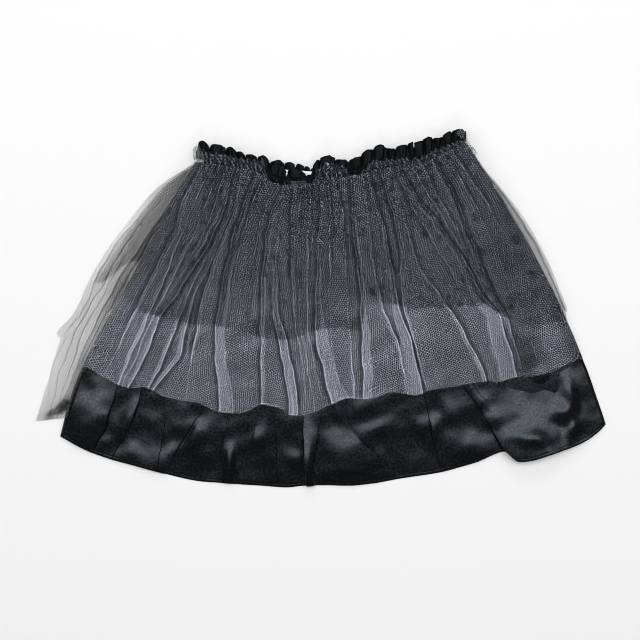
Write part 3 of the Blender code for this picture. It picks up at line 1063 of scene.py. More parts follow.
@dataclass
class PleatedSheet:
    """One pleated layer of cloth between two shares of the fan.

    levels are the shares at which the pleats are given, and pleats run from left to right. span is
    the first and last station, edges give the share of the upper edge and of the hem at a station,
    rows is the number of rows of points, and seed fixes the streaks.
    """

    fan: Fan
    levels: Sequence[float]
    pleats: Sequence[Pleat]
    span: tuple[Side, Side]
    edges: tuple[Curve, Curve]
    rows: int
    drape: Drape
    seed: int

    # Columns of points: their spacing, and those beside and under a fold, mm or shares.
    step: float = 3.0
    return_steps: Sizes = (0.0, 0.15, 0.5, 0.85, 1.0)
    rounding: float = 1.0
    under_lap: Sizes = (0.45, 0.9, 1.5, 2.6)
    under_steps: Table = ((0.0, 0.0), (0.25, 0.15), (0.6, 0.3))
    least_lap: float = 1.2
    past_lap: float = 0.8
    face_share: float = 0.45
    least_breadth: float = 1e-6
    # How far from its pleat a leaning patch comes to its full height, in widths of the pleat.
    lap_fade: float = 5.0
    # A fold's wobble: how many waves there are, their size, and the share by which they grow in.
    wobble_waves: Sizes = (6.0, 9.0, 14.0, 21.0)
    wobble: float = 6.0
    grown_in: float = 0.2
    wobble_seed: int = 5000
    wobble_seeds_per_station: float = 1e4
    wobble_turns: tuple[float, float] = (5.0, 8.0)
    least_width: float = 0.05
    edge_passes: int = 5
    # A fold's height from its width, and how much of it its two bends and its return have.
    first_rise: float = 0.25
    rise: float = 0.35
    full_width: float = 0.8
    upper_bend: float = 0.85
    lower_bend: float = 0.15
    return_top: float = 0.66
    return_fall: float = 0.30
    # The least length of a face, mm, the least share of it that is free, and the most under a pleat.
    least_length: float = 0.1
    least_free: float = 0.05
    most_covered: float = 0.42
    # Over what width, mm, the closeness changes at a pleat, and from what width it does so in full.
    under_fade: float = 0.6
    painted_shade_full_width: float = 2.5
    over_fade: float = 0.8
    over_full_width: float = 3.0
    # The rolled hem: its radius, mm, its rows of points and its groove of stitches.
    roll: float = 1.3
    hem_rows: Sizes = (0.9865, 0.9890, 0.9910, 0.9930, 0.9950, 0.9965, 0.9980, 0.9990)
    groove: float = 0.35
    groove_place: float = 2.2
    groove_width: float = 0.35
    # A net's curled hem: how close it gets, how wide it is, mm, and how it begins, in stations.
    curl: float = 2.2
    curl_width: float = 1.3
    curl_start: float = 0.01
    # How much further up the cloth turned under at the hem lies, as a share of the drop.
    hem_jog: float = 0.004
    jog_full_width: float = 6.0
    jog_start: float = 0.7
    jog_fade: float = 0.3
    # How many waves of gathers and of streaks there are across the skirt, from and to.
    gather_waves: Sizes = (30.0, 75.0)
    streak_waves: Sizes = (12.0, 90.0)
    streak_count: int = 24
    # How far the gathers and the streaks follow the cloth's lift, stations for each mm.
    gather_follow: float = 0.002
    streak_follow: float = 0.01
    gather_closeness: float = 0.2
    least_density: float = 0.12
    most_density: float = 6.0

    def __post_init__(self) -> None:
        """Set the rows and the waves."""
        self.top, self.hem = self.edges
        places = np.linspace(0.0, 1.0, self.rows)
        if self.drape.hem_roll:
            places = np.sort(np.concatenate([places[:-2], self.hem_rows, places[-1:]]))
        self.down = places[:, None]
        self.gathers = Streaks(self.seed, *self.gather_waves)
        self.streaks = Streaks(self.seed + 1, *self.streak_waves, self.streak_count)

    def share(self, station: Array) -> Array:
        """Give the share down the fan of each row at the stations."""
        top = self.top(station)
        return top + self.down * (self.hem(station) - top)

    def _side(self, side: Side) -> Array:
        """Give the station of a side edge on each row."""
        if isinstance(side, float):
            return np.full(self.down.shape, side)
        return along(side, self.share(np.zeros(self.down.shape)))

    def _fold(self, pleat: Pleat) -> Fold:
        """Run a pleat down the sheet, with a wobble that is fixed by where it starts."""
        station = np.full(self.down.shape, float(np.mean(pleat.stations)))
        for _ in range(self.edge_passes):
            share = self.share(station)
            station = spline(self.levels, pleat.stations, share)
        place = int(pleat.stations[0] * self.wobble_seeds_per_station)
        chance = np.random.default_rng(place + self.wobble_seed)
        swing = np.zeros(share.shape)
        for waves in self.wobble_waves:
            turn = share * waves * chance.uniform(*self.wobble_turns) + chance.uniform(*ANY_TURN)
            swing = swing + np.sin(turn) * self.wobble / waves
        swing = swing * self.drape.wobble * ease(share / self.grown_in)
        station = station + swing / self.fan.width_of_station(station, share)
        width = np.maximum(spline(self.levels, pleat.widths, share), self.least_width)
        return Fold(pleat, station, width / self.fan.width_of_station(station, share), width)

    def _lap_steps(self, fold: Optional[Fold], side: Facing) -> Array:
        """Place a face's columns beside a pleat, mm from its fold on each row; closest where it shows."""
        if fold is None:
            return np.zeros(self.down.shape)
        width = fold.width
        if not fold.faces(side):
            near = np.array([[0.0, self.rounding]]) + np.zeros(self.down.shape)
            far = np.maximum(width, self.least_lap)
            return np.concatenate([near, far, far + self.past_lap], axis=1)
        under = [share * width + more for share, more in self.under_steps]
        return np.concatenate(under + [width + beyond for beyond in self.under_lap], axis=1)

    def _face_steps(self, length: Array, before: Optional[Fold], after: Optional[Fold]) -> Array:
        """Place the columns of a face, as shares of its length on each row."""
        left, right = self._lap_steps(before, RIGHT), self._lap_steps(after, LEFT)
        room = self.face_share * length
        left = left * np.minimum(1.0, room / np.maximum(left[:, -1:], self.least_breadth)) / length
        right = right * np.minimum(1.0, room / np.maximum(right[:, -1:], self.least_breadth)) / length
        count = max(2, int(round(float(length.mean()) / self.step)))
        middle = np.linspace(0.0, 1.0, count + 1)[None, 1:-1]
        middle = left[:, -1:] + middle * (1.0 - right[:, -1:] - left[:, -1:])
        return np.concatenate([left, middle, 1.0 - right[:, ::-1]], axis=1)

    def _columns(self, folds: Sequence[Fold]) -> tuple[Columns, list[tuple[int, int]]]:
        """Run through the faces and the pleats' turned-under cloth from left to right.

        Args:
            folds: the pleats.

        Returns:
            The station, lift, density, hem jog and face number of every point, and the first and
            last column of each flat band.
        """
        nodes = [self._side(self.span[0])]
        for fold in folds:
            edge, breadth = fold.edge, fold.breadth
            nodes.extend((edge, edge - breadth) if fold.faces(RIGHT) else (edge + breadth, edge))
        nodes.append(self._side(self.span[1]))
        parts: dict[str, list[Array]] = {}
        bands, columns = [], 0
        for index, (low, high) in enumerate(zip(nodes, nodes[1:])):
            number, is_return = index // 2, index % 2 == 1
            if is_return:
                band = self._return(low, high, folds[number])
            else:
                before = folds[number - 1] if number else None
                after = folds[number] if number < len(folds) else None
                band = self._face(low, high, before, after)
            count = band["station"].shape[1]
            across = np.linspace(0.0, 1.0, count) if is_return else np.zeros(count)
            band["panel"] = np.broadcast_to(number + across, band["station"].shape)
            last = index == len(nodes) - 2
            for name, values in band.items():
                parts.setdefault(name, []).append(values if last else values[:, :-1])
            bands.append((columns, columns + count - 1))
            columns += count - 1
        return {name: np.concatenate(values, axis=1) for name, values in parts.items()}, bands

    def lay(self, pile: Pile, forms: Sequence[Union[Swell, Lean]] = (), spots: Sequence[Spot] = ()) -> Weave:
        """Lay the sheet on the pile.

        Args:
            pile: what lies beneath.
            forms: soft hills and leaning patches to add.
            spots: where its threads lie closer or further apart.

        Returns:
            The sheet's weave.
        """
        drape = self.drape
        folds = [self._fold(pleat) for pleat in self.pleats]
        parts, bands = self._columns(folds)
        station, lift = parts["station"], parts["lift"]
        share = self.share(station) + parts["jog"]
        x, y = self.fan.point(station, share)
        gather = np.exp(-share / drape.gather_fade)
        wave = self.gathers.read(station + self.gather_follow * lift, share)
        z = pile.under(x, y, drape.bridge) + drape.gap + lift + drape.gather_rise * gather * (1.0 + wave)
        for form in forms:
            kept = self._mask(form, station, parts["panel"], folds) if isinstance(form, Lean) else 1.0
            z = z + form.lift(x, y) * kept
        z = z + drape.crumple * crumples(x, y) * ease(share / self.grown_in)
        z = np.maximum(z + self._hem_form(station), drape.gap)
        full = 1.0 + drape.fullness * np.exp(-share / drape.fullness_fade)
        streak = 1.0 + drape.streak * self.streaks.read(station + self.streak_follow * lift, share)
        gathered = 1.0 + self.gather_closeness * gather * wave
        density = parts["density"] * full * streak * gathered * drape.closeness
        for spot in spots:
            density = density * spot.factor(x, y)
        density = np.clip(density * self._hem_closeness(station), self.least_density, self.most_density)
        return Weave(np.stack([x, y, z], axis=2), density, bands)

    def _mask(self, lean: Lean, station: Array, panel: Array, folds: Sequence[Fold]) -> Array:
        """Give how much of a leaning patch reaches each point, as it keeps between its pleats.

        Args:
            lean: the patch.
            station: each point's station.
            panel: the number of each point's face; it runs to the next one's over a pleat.
            folds: the pleats.

        Returns:
            The share of the patch, from 0 to 1.
        """
        mask = np.ones(station.shape)
        for number, fold in enumerate(folds):
            scale = fold.width / np.maximum(fold.breadth, self.least_breadth)
            beyond = (station - fold.edge) * scale / self.lap_fade
            if fold.pleat.name and fold.pleat.name == lean.after:
                mask = mask * (ease(beyond) if fold.faces(RIGHT) else ease(panel - number))
            if fold.pleat.name and fold.pleat.name == lean.before:
                mask = mask * (ease(-beyond) if fold.faces(LEFT) else ease(number + 1.0 - panel))
        return mask

    def _hem_form(self, station: Array) -> Array:
        """Give the lift of a rolled hem and the groove of the stitches above it, mm."""
        up = (1.0 - self.down) * self.fan.length(station)
        inward = np.clip(up / (2.0 * self.roll), 0.0, 1.0)
        groove = np.exp(-(((up - self.groove_place * self.roll) / (self.groove_width * self.roll)) ** 2))
        return self.drape.hem_roll * (np.sqrt(inward * (2.0 - inward)) - 1.0 - self.groove * groove)

    def _hem_closeness(self, station: Array) -> Array:
        """Give what the density is multiplied by along the parts of the hem that curl up."""
        up = (1.0 - self.down) * (self.hem(station) - self.top(station)) * self.fan.length(station)
        curl = np.zeros(station.shape)
        for low, high in self.drape.bright_hems:
            curl = curl + ease((station - low) / self.curl_start) * ease((high - station) / self.curl_start)
        return 1.0 + self.curl * curl * np.exp(-((up / self.curl_width) ** 2))

    def _face(self, low: Array, high: Array, before: Optional[Fold], after: Optional[Fold]) -> Columns:
        """Lay the face between two pleats.

        Args:
            low: the face's left station on each row.
            high: its right station.
            before: the pleat on its left.
            after: the pleat on its right.

        Returns:
            The station, lift, density and hem jog of its columns.
        """
        drape = self.drape
        middle = 0.5 * (low + high)
        length = np.abs(high - low) * self.fan.width_of_station(middle, self.share(middle))
        length = np.maximum(length, self.least_length)
        steps = self._face_steps(length, before, after)
        start, lead = self._end(before, RIGHT, length)
        end, tail = self._end(after, LEFT, length)
        share = ease((steps - lead) / np.maximum(1.0 - tail - lead, self.least_free))
        lift = start + share * (end - start)
        lift[:, :1], lift[:, -1:] = self._corner(before, 1), self._corner(after, 0)
        density = np.ones(lift.shape)
        reach = steps * length
        for fold, side, from_fold in ((before, RIGHT, reach), (after, LEFT, length - reach)):
            if fold is None:
                continue
            width = fold.width
            if fold.faces(side):
                fade = ease((width - from_fold) / self.under_fade + 1.0)
                density = density - (1.0 - drape.under_closeness) * fade
                # Painted shade beside the pleat's upper edge: the net thins there over the black satin, and a
                # dark net, with a dip below zero, grows closer.
                beyond = (from_fold - width - drape.painted_shade_width) / drape.painted_shade_width
                dip = drape.dip * np.minimum(width / self.painted_shade_full_width, 1.0)
                density = density * (1.0 - dip * np.exp(-(beyond**2)))
            else:
                lap = ease((width - from_fold) / self.over_fade + 1.0)
                lap = lap * np.minimum(width / self.over_full_width, 1.0)
                density = density * (1.0 + (drape.over_closeness - 1.0) * lap)
        density[:, :1], density[:, -1:] = self._corner_density(before, 1), self._corner_density(after, 0)
        station = low + steps * (high - low)
        return {"station": station, "lift": lift, "density": density, "jog": np.zeros(lift.shape)}

    def _return(self, low: Array, high: Array, fold: Fold) -> Columns:
        """Lay the cloth that is turned under at a pleat; see _face."""
        steps = np.array(self.return_steps)[None, :]
        down = steps if fold.faces(RIGHT) else 1.0 - steps
        lift = self._rise(fold.width) * (self.return_top - self.return_fall * down)
        lift[:, :1], lift[:, -1:] = self._corner(fold, 0), self._corner(fold, 1)
        density = np.full(lift.shape, self.drape.under_closeness)
        density[:, :1], density[:, -1:] = self._corner_density(fold, 0), self._corner_density(fold, 1)
        deep = np.minimum(fold.width / self.jog_full_width, 1.0)
        low_down = ease((self.down - self.jog_start) / self.jog_fade)
        jog = -self.hem_jog * deep * np.sin(math.pi * steps) * low_down
        return {"station": low + steps * (high - low), "lift": lift, "density": density, "jog": jog}

    def _rise(self, width: Array) -> Array:
        """Give a pleat's height from the width of cloth turned under, mm."""
        rise = np.minimum(self.drape.fold_rise, self.first_rise + self.rise * width)
        return rise * np.minimum(width / self.full_width, 1.0)

    def _end(self, fold: Optional[Fold], side: Facing, length: Array) -> tuple[Array, Array]:
        """Give a face's lift beside a pleat, and the share of it that the pleat covers."""
        if fold is None:
            return np.zeros(length.shape), np.zeros(length.shape)
        lift = np.zeros(length.shape) if fold.faces(side) else self._rise(fold.width)
        return lift, np.minimum(self.most_covered, (fold.width + 1.0) / length)

    def _corner(self, fold: Optional[Fold], node: int) -> Array:
        """Give the lift of a pleat's first or second bend."""
        if fold is None:
            return np.zeros(self.down.shape)
        is_upper = (node == 0) == fold.faces(RIGHT)
        return self._rise(fold.width) * (self.upper_bend if is_upper else self.lower_bend)

    def _corner_density(self, fold: Optional[Fold], node: int) -> Array:
        """Give the density of a pleat's first or second bend."""
        if fold is None:
            return np.ones(self.down.shape)
        is_upper = (node == 0) == fold.faces(RIGHT)
        peak = self.drape.edge_density if is_upper else self.drape.under_edge_density
        return 1.0 + (peak - 1.0) * np.minimum(fold.width / 2.0, 1.0)


# The small gathers: how unevenly they lie, their widths at the waist, how many levels down they
# last, and the widths that they keep to the hem, mm.
GATHER_JITTER = 0.25
GATHER_WIDTHS = (0.6, 1.4)
GATHER_LIVES = (0.8, 3.8)
GATHER_LIFE_POWER = 1.3
GATHER_KEEPS = (0.05, 0.05, 0.6, 1.2)


def filler_pleats(pleats: Sequence[Pleat], seed: int, spacing: float, width: float) -> list[Pleat]:
    """Put small gathers between the pleats, closer at the waist and dying out down the skirt.

    Args:
        pleats: the main pleats from left to right.
        seed: fixes the gathers.
        spacing: about how many stations apart they lie.
        width: about how much cloth each turns under at the waist, mm.

    Returns:
        All pleats from left to right.
    """
    chance = np.random.default_rng(seed)
    levels = len(pleats[0].stations)
    left = Pleat("", LEFT, (0.0,) * levels, (0.0,) * levels)
    right = Pleat("", LEFT, (1.0,) * levels, (0.0,) * levels)
    made: list[Pleat] = []
    chain = [left, *pleats, right]
    for low, high in zip(chain, chain[1:]):
        gap = np.array(high.stations) - np.array(low.stations)
        count = int(round(float(gap[1]) / spacing)) - 1
        for index in range(max(count, 0)):
            share = (index + 1.0 + chance.uniform(-GATHER_JITTER, GATHER_JITTER)) / (count + 1.0)
            stations = tuple(float(value) for value in np.array(low.stations) + share * gap)
            start = width * chance.uniform(*GATHER_WIDTHS)
            life = chance.uniform(*GATHER_LIVES) ** GATHER_LIFE_POWER
            fading = [start * math.exp(-((level / life) ** 2)) for level in range(levels)]
            keeps = chance.choice(GATHER_KEEPS)
            widths = tuple(max(value, keeps * min(level / 3.0, 1.0)) for level, value in enumerate(fading))
            facing = RIGHT if chance.random() < 0.5 else LEFT
            made.append(Pleat(f"gather {len(made)}", facing, stations, widths))
        if high is not right:
            made.append(high)
    return made


# ---------------------------------------------------------------- the skirt


# How much less far the short back net spreads past the satin, as a share.
DARK_INSET = 0.22
BACK_FOLDS = (4, 5, 6, 6, 6, 6, 6, 6)
BACK_PLEATS = (
    Pleat("back left", RIGHT, (0.08,) * 8, BACK_FOLDS),
    Pleat("back middle", LEFT, (0.45,) * 8, BACK_FOLDS),
    Pleat("back right", RIGHT, (0.85,) * 8, BACK_FOLDS),
)
WRAP_LEVELS = (0.04, 0.14, 0.24, 0.34, 0.44, 0.54, 0.64, 0.76, 0.92)
LEFT_WRAP_PLEATS = (
    Pleat("rim", LEFT, (-0.012, -0.036, -0.041, -0.0435, -0.042, -0.041, -0.045, -0.0495, -0.035),
          (0, 0.6, 1, 1.2, 1.2, 1, 0.8, 0.6, 0.4)),
    Pleat("outer", RIGHT, (-0.008, -0.024, -0.029, -0.03, -0.03, -0.0345, -0.0345, -0.0365, -0.029),
          (0, 0.6, 1, 1.2, 1.4, 1.4, 1.2, 0.8, 0.4)),
    Pleat("middle", RIGHT, (-0.005, -0.014, -0.018, -0.0205, -0.023, -0.0255, -0.026, -0.0225, -0.0235),
          (0, 0, 0.3, 0.6, 0.7, 0.9, 1.3, 0.8, 0.4)),
    Pleat("crease", LEFT, (-0.002, -0.004, -0.007, -0.0115, -0.0162, -0.0168, -0.0172, -0.0165, -0.0185),
          (1, 2, 2.5, 2.5, 2, 1.6, 1.2, 1, 0.6)),
    Pleat("edge", RIGHT, (0.002, 0.001, 0, -0.002, -0.004, -0.0074, -0.01, -0.0115, -0.0095),
          (0, 1, 2, 2, 1.5, 1, 0.8, 0.6, 0.4)),
)
RIGHT_WRAP_PLEATS = (
    Pleat("right rim", RIGHT, (1.004, 1.01, 1.014, 1.015, 1.014, 1.012, 1.012, 1.012, 1.012),
          (0, 1, 2, 2, 1, 1, 0, 0, 0)),
)

# Where the turned-over side nets are thinner at the rim, and bunched at the raw hem.
WRAP_SPOTS = (
    Spot(-190, 70, 60, 7, 48, -0.55),
    Spot(-226, 12, 36, 8, 62, -0.5),
    Spot(-245, -45, 36, 7, 72, -0.4),
    Spot(-200, -19, 62, 8, 64, 1.1),
    Spot(-186, 20, 22, 8, 60, 1.3),
    Spot(-166, 92, 50, 14, 48, -0.3),
    Spot(-196, 50, 40, 12, 55, -0.45),
    Spot(-178, 66, 26, 5, 52, 0.2),
    Spot(-242, -95, 12, 4.2, 36, 5),
    Spot(-239, -88.5, 5, 3, 40, 3),
    Spot(-252.5, -98.5, 4, 1.8, 35, 2.5),
    Spot(-243.5, -101, 4.5, 2.2, 14, -0.75),
    Spot(-249.5, -100.5, 2.6, 1.5, 0, -0.7),
    Spot(-237.5, -97.5, 3.2, 1.8, 10, -0.7),
    Spot(-246, -96, 2, 1.6, 0, -0.65),
    Spot(-240.5, -91.5, 1.8, 1.5, 0, -0.55),
    Spot(-256, -76, 20, 4, 70, -0.35),
    Spot(-227, -62, 26, 4, 68, 0.45),
    Spot(208, 34, 44, 7, -64, -0.6),
    Spot(180, 88, 34, 7, -56, -0.45),
)

# Thin and close places of the front nets. Some thin bands beside the folds, and some gaps between them, stand
# for the shadows there: painted shade.
NET_SPOTS = (
    Spot(73.3, 109.3, 14, 3.6, -70, -0.8),
    Spot(-98, 35.2, 28, 4.5, 77, -0.55),
    Spot(-49.4, -12.9, 21, 2.8, 87, -0.55),
    Spot(72.6, 19, 24, 3.4, -84, -0.88),
    Spot(35.3, 12, 24, 2.4, 88, -0.7),
    Spot(-48, 17, 20, 2.4, 85, -0.6),
    Spot(-6.5, 15, 30, 2, 88, -0.5),
    Spot(139, 76.9, 24, 4.2, -70, -0.6),
    Spot(25.6, 83.8, 12, 2.8, -80, -0.55),
    Spot(-128.6, -1.8, 11, 3, 68, -0.92),
    Spot(-127.6, 97.3, 15, 3.2, 55, -0.65),
    Spot(-117, 96, 22, 9, 60, -0.45),
    Spot(161, 66, 17, 4.5, -68, -0.5),
    Spot(-40, 60, 34, 9, 95, -0.25),
    Spot(118, -56, 26, 14, 80, -0.3),
    Spot(176, -44, 24, 16, 70, -0.25),
    Spot(196, -46, 32, 15, 80, -0.72),
    Spot(188, -14, 40, 18, 75, -0.35),
    Spot(204, -22, 16, 7, 0, 0.9),
    Spot(206, -36, 8, 10, 0, 0.7),
    Spot(234, -32, 34, 8.5, -66, -0.62),
    Spot(-176, -32, 30, 7, 58, 0.45),
    Spot(-16, -52, 30, 9, 90, 0.3),
    Spot(32, -60, 30, 9, 96, 0.35),
    Spot(92, -14, 40, 9, 96, 0.25),
)

# Where the short front net lies thinner, near its hem.
DARK_SPOTS = (
    Spot(-150, 16, 70, 22, -12, -0.4),
    Spot(-60, -2, 60, 22, -8, -0.45),
    Spot(20, -2, 50, 16, 4, -0.3),
    Spot(182, 34, 60, 26, -65, 0.25),
)

# Soft forms of the satin: patches that lean and take the light, and hills beneath the nets.
SATIN_FORMS = (
    Lean(-208, -90, 32, 16, 66, 0.16, "", "left end"),
    Lean(-173, -92, 22, 8, 70, 0.16, "left end", "left second"),
    Lean(-163, -135, 34, 18, -16, 0.17, "", "left glare"),
    Lean(-196, -122, 10, 6, 40, 0.17),
    Lean(-140, -104, 22, 10, -10, 0.12, "left second", "left glare"),
    Lean(-113, -110, 15, 16, 0, 0.18, "left glare", "left inner"),
    Lean(-108, -133, 9, 8, 0, 0.16, "left glare", "left inner"),
    Lean(-84.5, -136, 20, 4.5, 87, 0.26, "left inner", ""),
    Lean(-57, -115, 13, 6.5, 80, 0.2),
    Lean(-25, -136, 10, 9, 20, 0.22, "", "middle left"),
    Lean(-13, -130, 40, 9, 90, 0.2, "middle left", "middle crease"),
    Lean(23, -131, 22, 22, -40, 0.2, "middle crease", "middle slant"),
    Lean(24, -149, 9, 4, 0, 0.24, "middle crease", "middle slant"),
    Lean(55, -108, 13, 7, 30, 0.13),
    Lean(58, -152, 6, 3.5, 0, 0.22),
    Lean(105, -109, 14, 5, 80, 0.19, "right minor", "right step"),
    Lean(125, -90, 16, 12, 0, 0.08, "right minor", "right step"),
    Lean(139, -123, 22, 16, 10, 0.2, "right minor", "right step"),
    Lean(199, -117, 42, 48, 8, 0.22, "right step", ""),
    Lean(194.5, -123.5, 13, 8, 0, -0.4, "right step", ""),
    Lean(217, -131, 11, 9, 20, 0.2, "right step", ""),
    Lean(225, -102, 8.5, 11, 0, -0.4, "right step", ""),
    Lean(234, -107, 11, 4.5, 72, 0.27),
    Lean(229, -70, 20, 6, 100, 0.23),
    Lean(204, -66, 9, 9, 0, -0.24),
    Lean(161, 66, 18, 6, -68, 0.26),
    Lean(74, 108, 14, 6, -70, 0.26),
    Lean(139, 74, 18, 5, -68, 0.17),
    Swell(90, -20, 60, 18, 70, 1.6),
    Swell(-60, -30, 60, 18, 100, 1.6),
    Swell(-150, 0, 60, 18, 60, 1.6),
    Swell(150, 20, 60, 18, 120, 1.6),
)

CUTS = {
    "short_net_back": Cut(0.52, 0.13),
    "long_net_back": Cut(0.62, 0.215),
    "satin_back_cloth": Cut(0.505, 0.285, 0.116, "laid"),
    "satin_front_cloth": Cut(0.52, 0.285, 0.13, "laid"),
    "long_net_front": Cut(0.68, 0.215),
    "short_net_front": Cut(0.57, 0.14),
    "waist_casing_back_cloth": Cut(0.26, 0.0125),
    "satin_heading_back_cloth": Cut(0.26, 0.01),
    "waist_casing_front_cloth": Cut(0.27, 0.0135),
    "satin_heading_front_cloth": Cut(0.3, 0.012),
    "net_frill_back": Cut(0.27, 0.01),
    "net_frill_front": Cut(0.46, 0.01),
    "blank_label": Cut(0.029, 0.01, held="laid"),
}


@dataclass
class Skirt:
    """The six panels of the skirt, laid from the floor up on its pile; mm, or shares of the drop."""

    fan: Fan
    pile: Pile
    net_thickness: float = 0.25
    satin_thickness: float = 0.35
    satin_bearing: float = 0.05
    long_rows: int = 92
    short_rows: int = 66
    satin_rows: int = 120
    seam_lap: float = 0.006
    back_seam_lap: float = 0.004
    right_wrap_start: float = 0.998
    # The spacing of the small gathers, in stations, and their width, mm.
    back_gathers: Sizes = (0.035, 2.5)
    front_gathers: Sizes = (0.034, 1.7)
    short_fold_share: float = 0.6
    dark_wrap_closeness: float = 0.4
    satin_turn: Sizes = (-0.02, 0.02)
    back_drape: Drape = Drape(gap=0.15, bridge=3.0, fold_rise=0.8, gather_rise=0.25, fullness=0.5)
    wrap_drape: Drape = Drape(gap=0.3, bridge=3.0, fold_rise=1.2, gather_rise=0.4, wobble=0.55, fullness=0.6)
    # The long net's dip and the short net's dip below zero paint shade beside the pleats.
    long_drape: Drape = Drape(
        edge_density=8.0, dip=0.82, painted_shade_width=1.7, wobble=0.5, bright_hems=((0.338, 0.402), (0.508, 0.578))
    )
    short_drape: Drape = Drape(edge_density=0.15, under_edge_density=1.0, dip=-1.4, wobble=0.5)
    satin_drape: Drape = Drape(
        gap=0.4,
        bridge=12.0,
        fold_rise=0.55,
        gather_rise=0.2,
        fullness=0.0,
        edge_density=1.0,
        under_edge_density=1.0,
        dip=0.0,
        streak=0.0,
    )
    front_satin_drape: Drape = replace(satin_drape, gap=0.6, gather_rise=0.7, crumple=0.3, hem_roll=0.5)

    def lay(self) -> list[Cloth]:
        """Lay the panels in order, and give them from the floor up."""
        short_back = self.back_net("short_net_back", "tulle_short_back", DARK_BACK_NET, SHORT_BACK_HEM, 11)
        long_back = self.back_net("long_net_back", "tulle_long_back", PALE_NET, LONG_BACK_HEM, 12)
        satin_back = self.satin("satin_back_cloth", "satin_back", False, 13)
        satin_front = self.satin("satin_front_cloth", "satin_front", True, 14)
        self.side_wraps(long_back, LONG_BACK_HEM, 15)
        self.side_wraps(short_back, SHORT_BACK_HEM, 16)
        long_front = self.front_net(
            "long_net_front", "tulle_long_front", GREY_NET, LONG_FRONT_HEM, self.long_drape, 17
        )
        short_front = self.front_net(
            "short_net_front", "tulle_short_front", DARK_NET, SHORT_FRONT_HEM, self.short_drape, 18
        )
        return [short_back, long_back, satin_back, satin_front, long_front, short_front]

    def _waist(self, station: Array) -> Array:
        """Give the share of the front waist seam, a little under the casing."""
        return self.fan.front_waist(station) - self.seam_lap

    def _back_waist(self, station: Array) -> Array:
        """Give the share of the back waist seam."""
        return np.zeros(np.shape(station)) - self.back_seam_lap

    def _sheet(
        self,
        span: tuple[Side, Side],
        edges: tuple[Curve, Table],
        pleats: Sequence[Pleat],
        rows: int,
        drape: Drape,
        seed: int,
        levels: Sequence[float] = NET_LEVELS,
    ) -> PleatedSheet:
        """Plan one layer from its upper edge to its hem's table; see PleatedSheet."""
        top, hem = edges
        return PleatedSheet(self.fan, levels, pleats, span, (top, lambda s: along(hem, s)), rows, drape, seed)

    def _net(self, sheet: PleatedSheet, spots: Sequence[Spot]) -> Weave:
        """Lay one layer of net and raise the pile by it."""
        weave = sheet.lay(self.pile, (), spots)
        self.pile.add(weave.points, self.net_thickness)
        return weave

    def _net_cloth(self, name: str, node: str, finish: Finish) -> tuple[Cloth, bool, int]:
        """Start a net's piece, and tell if it is the dark short one and how many rows it has."""
        dark = finish in (DARK_NET, DARK_BACK_NET)
        slot = Slot.DARK_TULLE if dark else Slot.GREY_TULLE
        rows = self.short_rows if dark else self.long_rows
        return Cloth(name, finish, slot, (node,), cut=CUTS[name]), dark, rows

    @staticmethod
    def _back_span(dark: bool) -> tuple[float, float]:
        """Give the stations of a back net's two side folds."""
        reach = 1.0 - (DARK_INSET if dark else 0.0)
        return LEFT_SIDE * reach, 1.0 + (RIGHT_SIDE - 1.0) * reach

    def back_net(self, name: str, node: str, finish: Finish, hem: Table, seed: int) -> Cloth:
        """Lay the part of a back net that is under the satin."""
        cloth, dark, rows = self._net_cloth(name, node, finish)
        pleats = filler_pleats(BACK_PLEATS, seed, *self.back_gathers)
        edges = (self._back_waist, hem)
        sheet = self._sheet(self._back_span(dark), edges, pleats, rows, self.back_drape, seed)
        cloth.weaves.append(self._net(sheet, WRAP_SPOTS))
        return cloth

    def side_wraps(self, cloth: Cloth, hem: Table, seed: int) -> None:
        """Lay the parts of a back net that turn over the satin's two sides."""
        dark = cloth.slot is Slot.DARK_TULLE
        drape = replace(self.wrap_drape, closeness=self.dark_wrap_closeness if dark else 1.0)
        rows = self.short_rows if dark else self.long_rows
        left, right = self._back_span(dark)
        sides = (((left, WRAP_INSIDE), LEFT_WRAP_PLEATS), ((self.right_wrap_start, right), RIGHT_WRAP_PLEATS))
        for span, pleats in sides:
            sheet = self._sheet(span, (self._back_waist, hem), pleats, rows, drape, seed, WRAP_LEVELS)
            cloth.weaves.append(self._net(sheet, WRAP_SPOTS))

    def satin(self, name: str, node: str, is_front: bool, seed: int) -> Cloth:
        """Lay one satin panel."""
        top = self._waist if is_front else self._back_waist
        drape = self.front_satin_drape if is_front else self.satin_drape
        pleats, forms = (SATIN_PLEATS, SATIN_FORMS) if is_front else ((), ())
        span, edges = (SATIN_SIDE, 1.0), (top, SATIN_HEM)
        sheet = self._sheet(span, edges, pleats, self.satin_rows, drape, seed, SATIN_LEVELS)
        weave = sheet.lay(self.pile, forms)
        self.pile.add(weave.points, self.satin_bearing)
        return Cloth(
            name, BLACK_SATIN, Slot.SATIN, (node,), [weave], self.satin_thickness, self.satin_turn, CUTS[name]
        )

    def front_net(self, name: str, node: str, finish: Finish, hem: Table, drape: Drape, seed: int) -> Cloth:
        """Lay one front net."""
        cloth, dark, rows = self._net_cloth(name, node, finish)
        fold = np.array(FOLD_SHARES) * (self.short_fold_share if dark else 1.0)
        main_pleats = [replace(pleat, widths=tuple(fold * np.array(pleat.widths))) for pleat in NET_PLEATS]
        pleats = filler_pleats(main_pleats, seed, *self.front_gathers)
        sheet = self._sheet((SATIN_SIDE, 1.0), (self._waist, hem), pleats, rows, drape, seed)
        cloth.weaves.append(self._net(sheet, NET_SPOTS + (DARK_SPOTS if dark else ())))
        return cloth


# ---------------------------------------------------------------- the waist

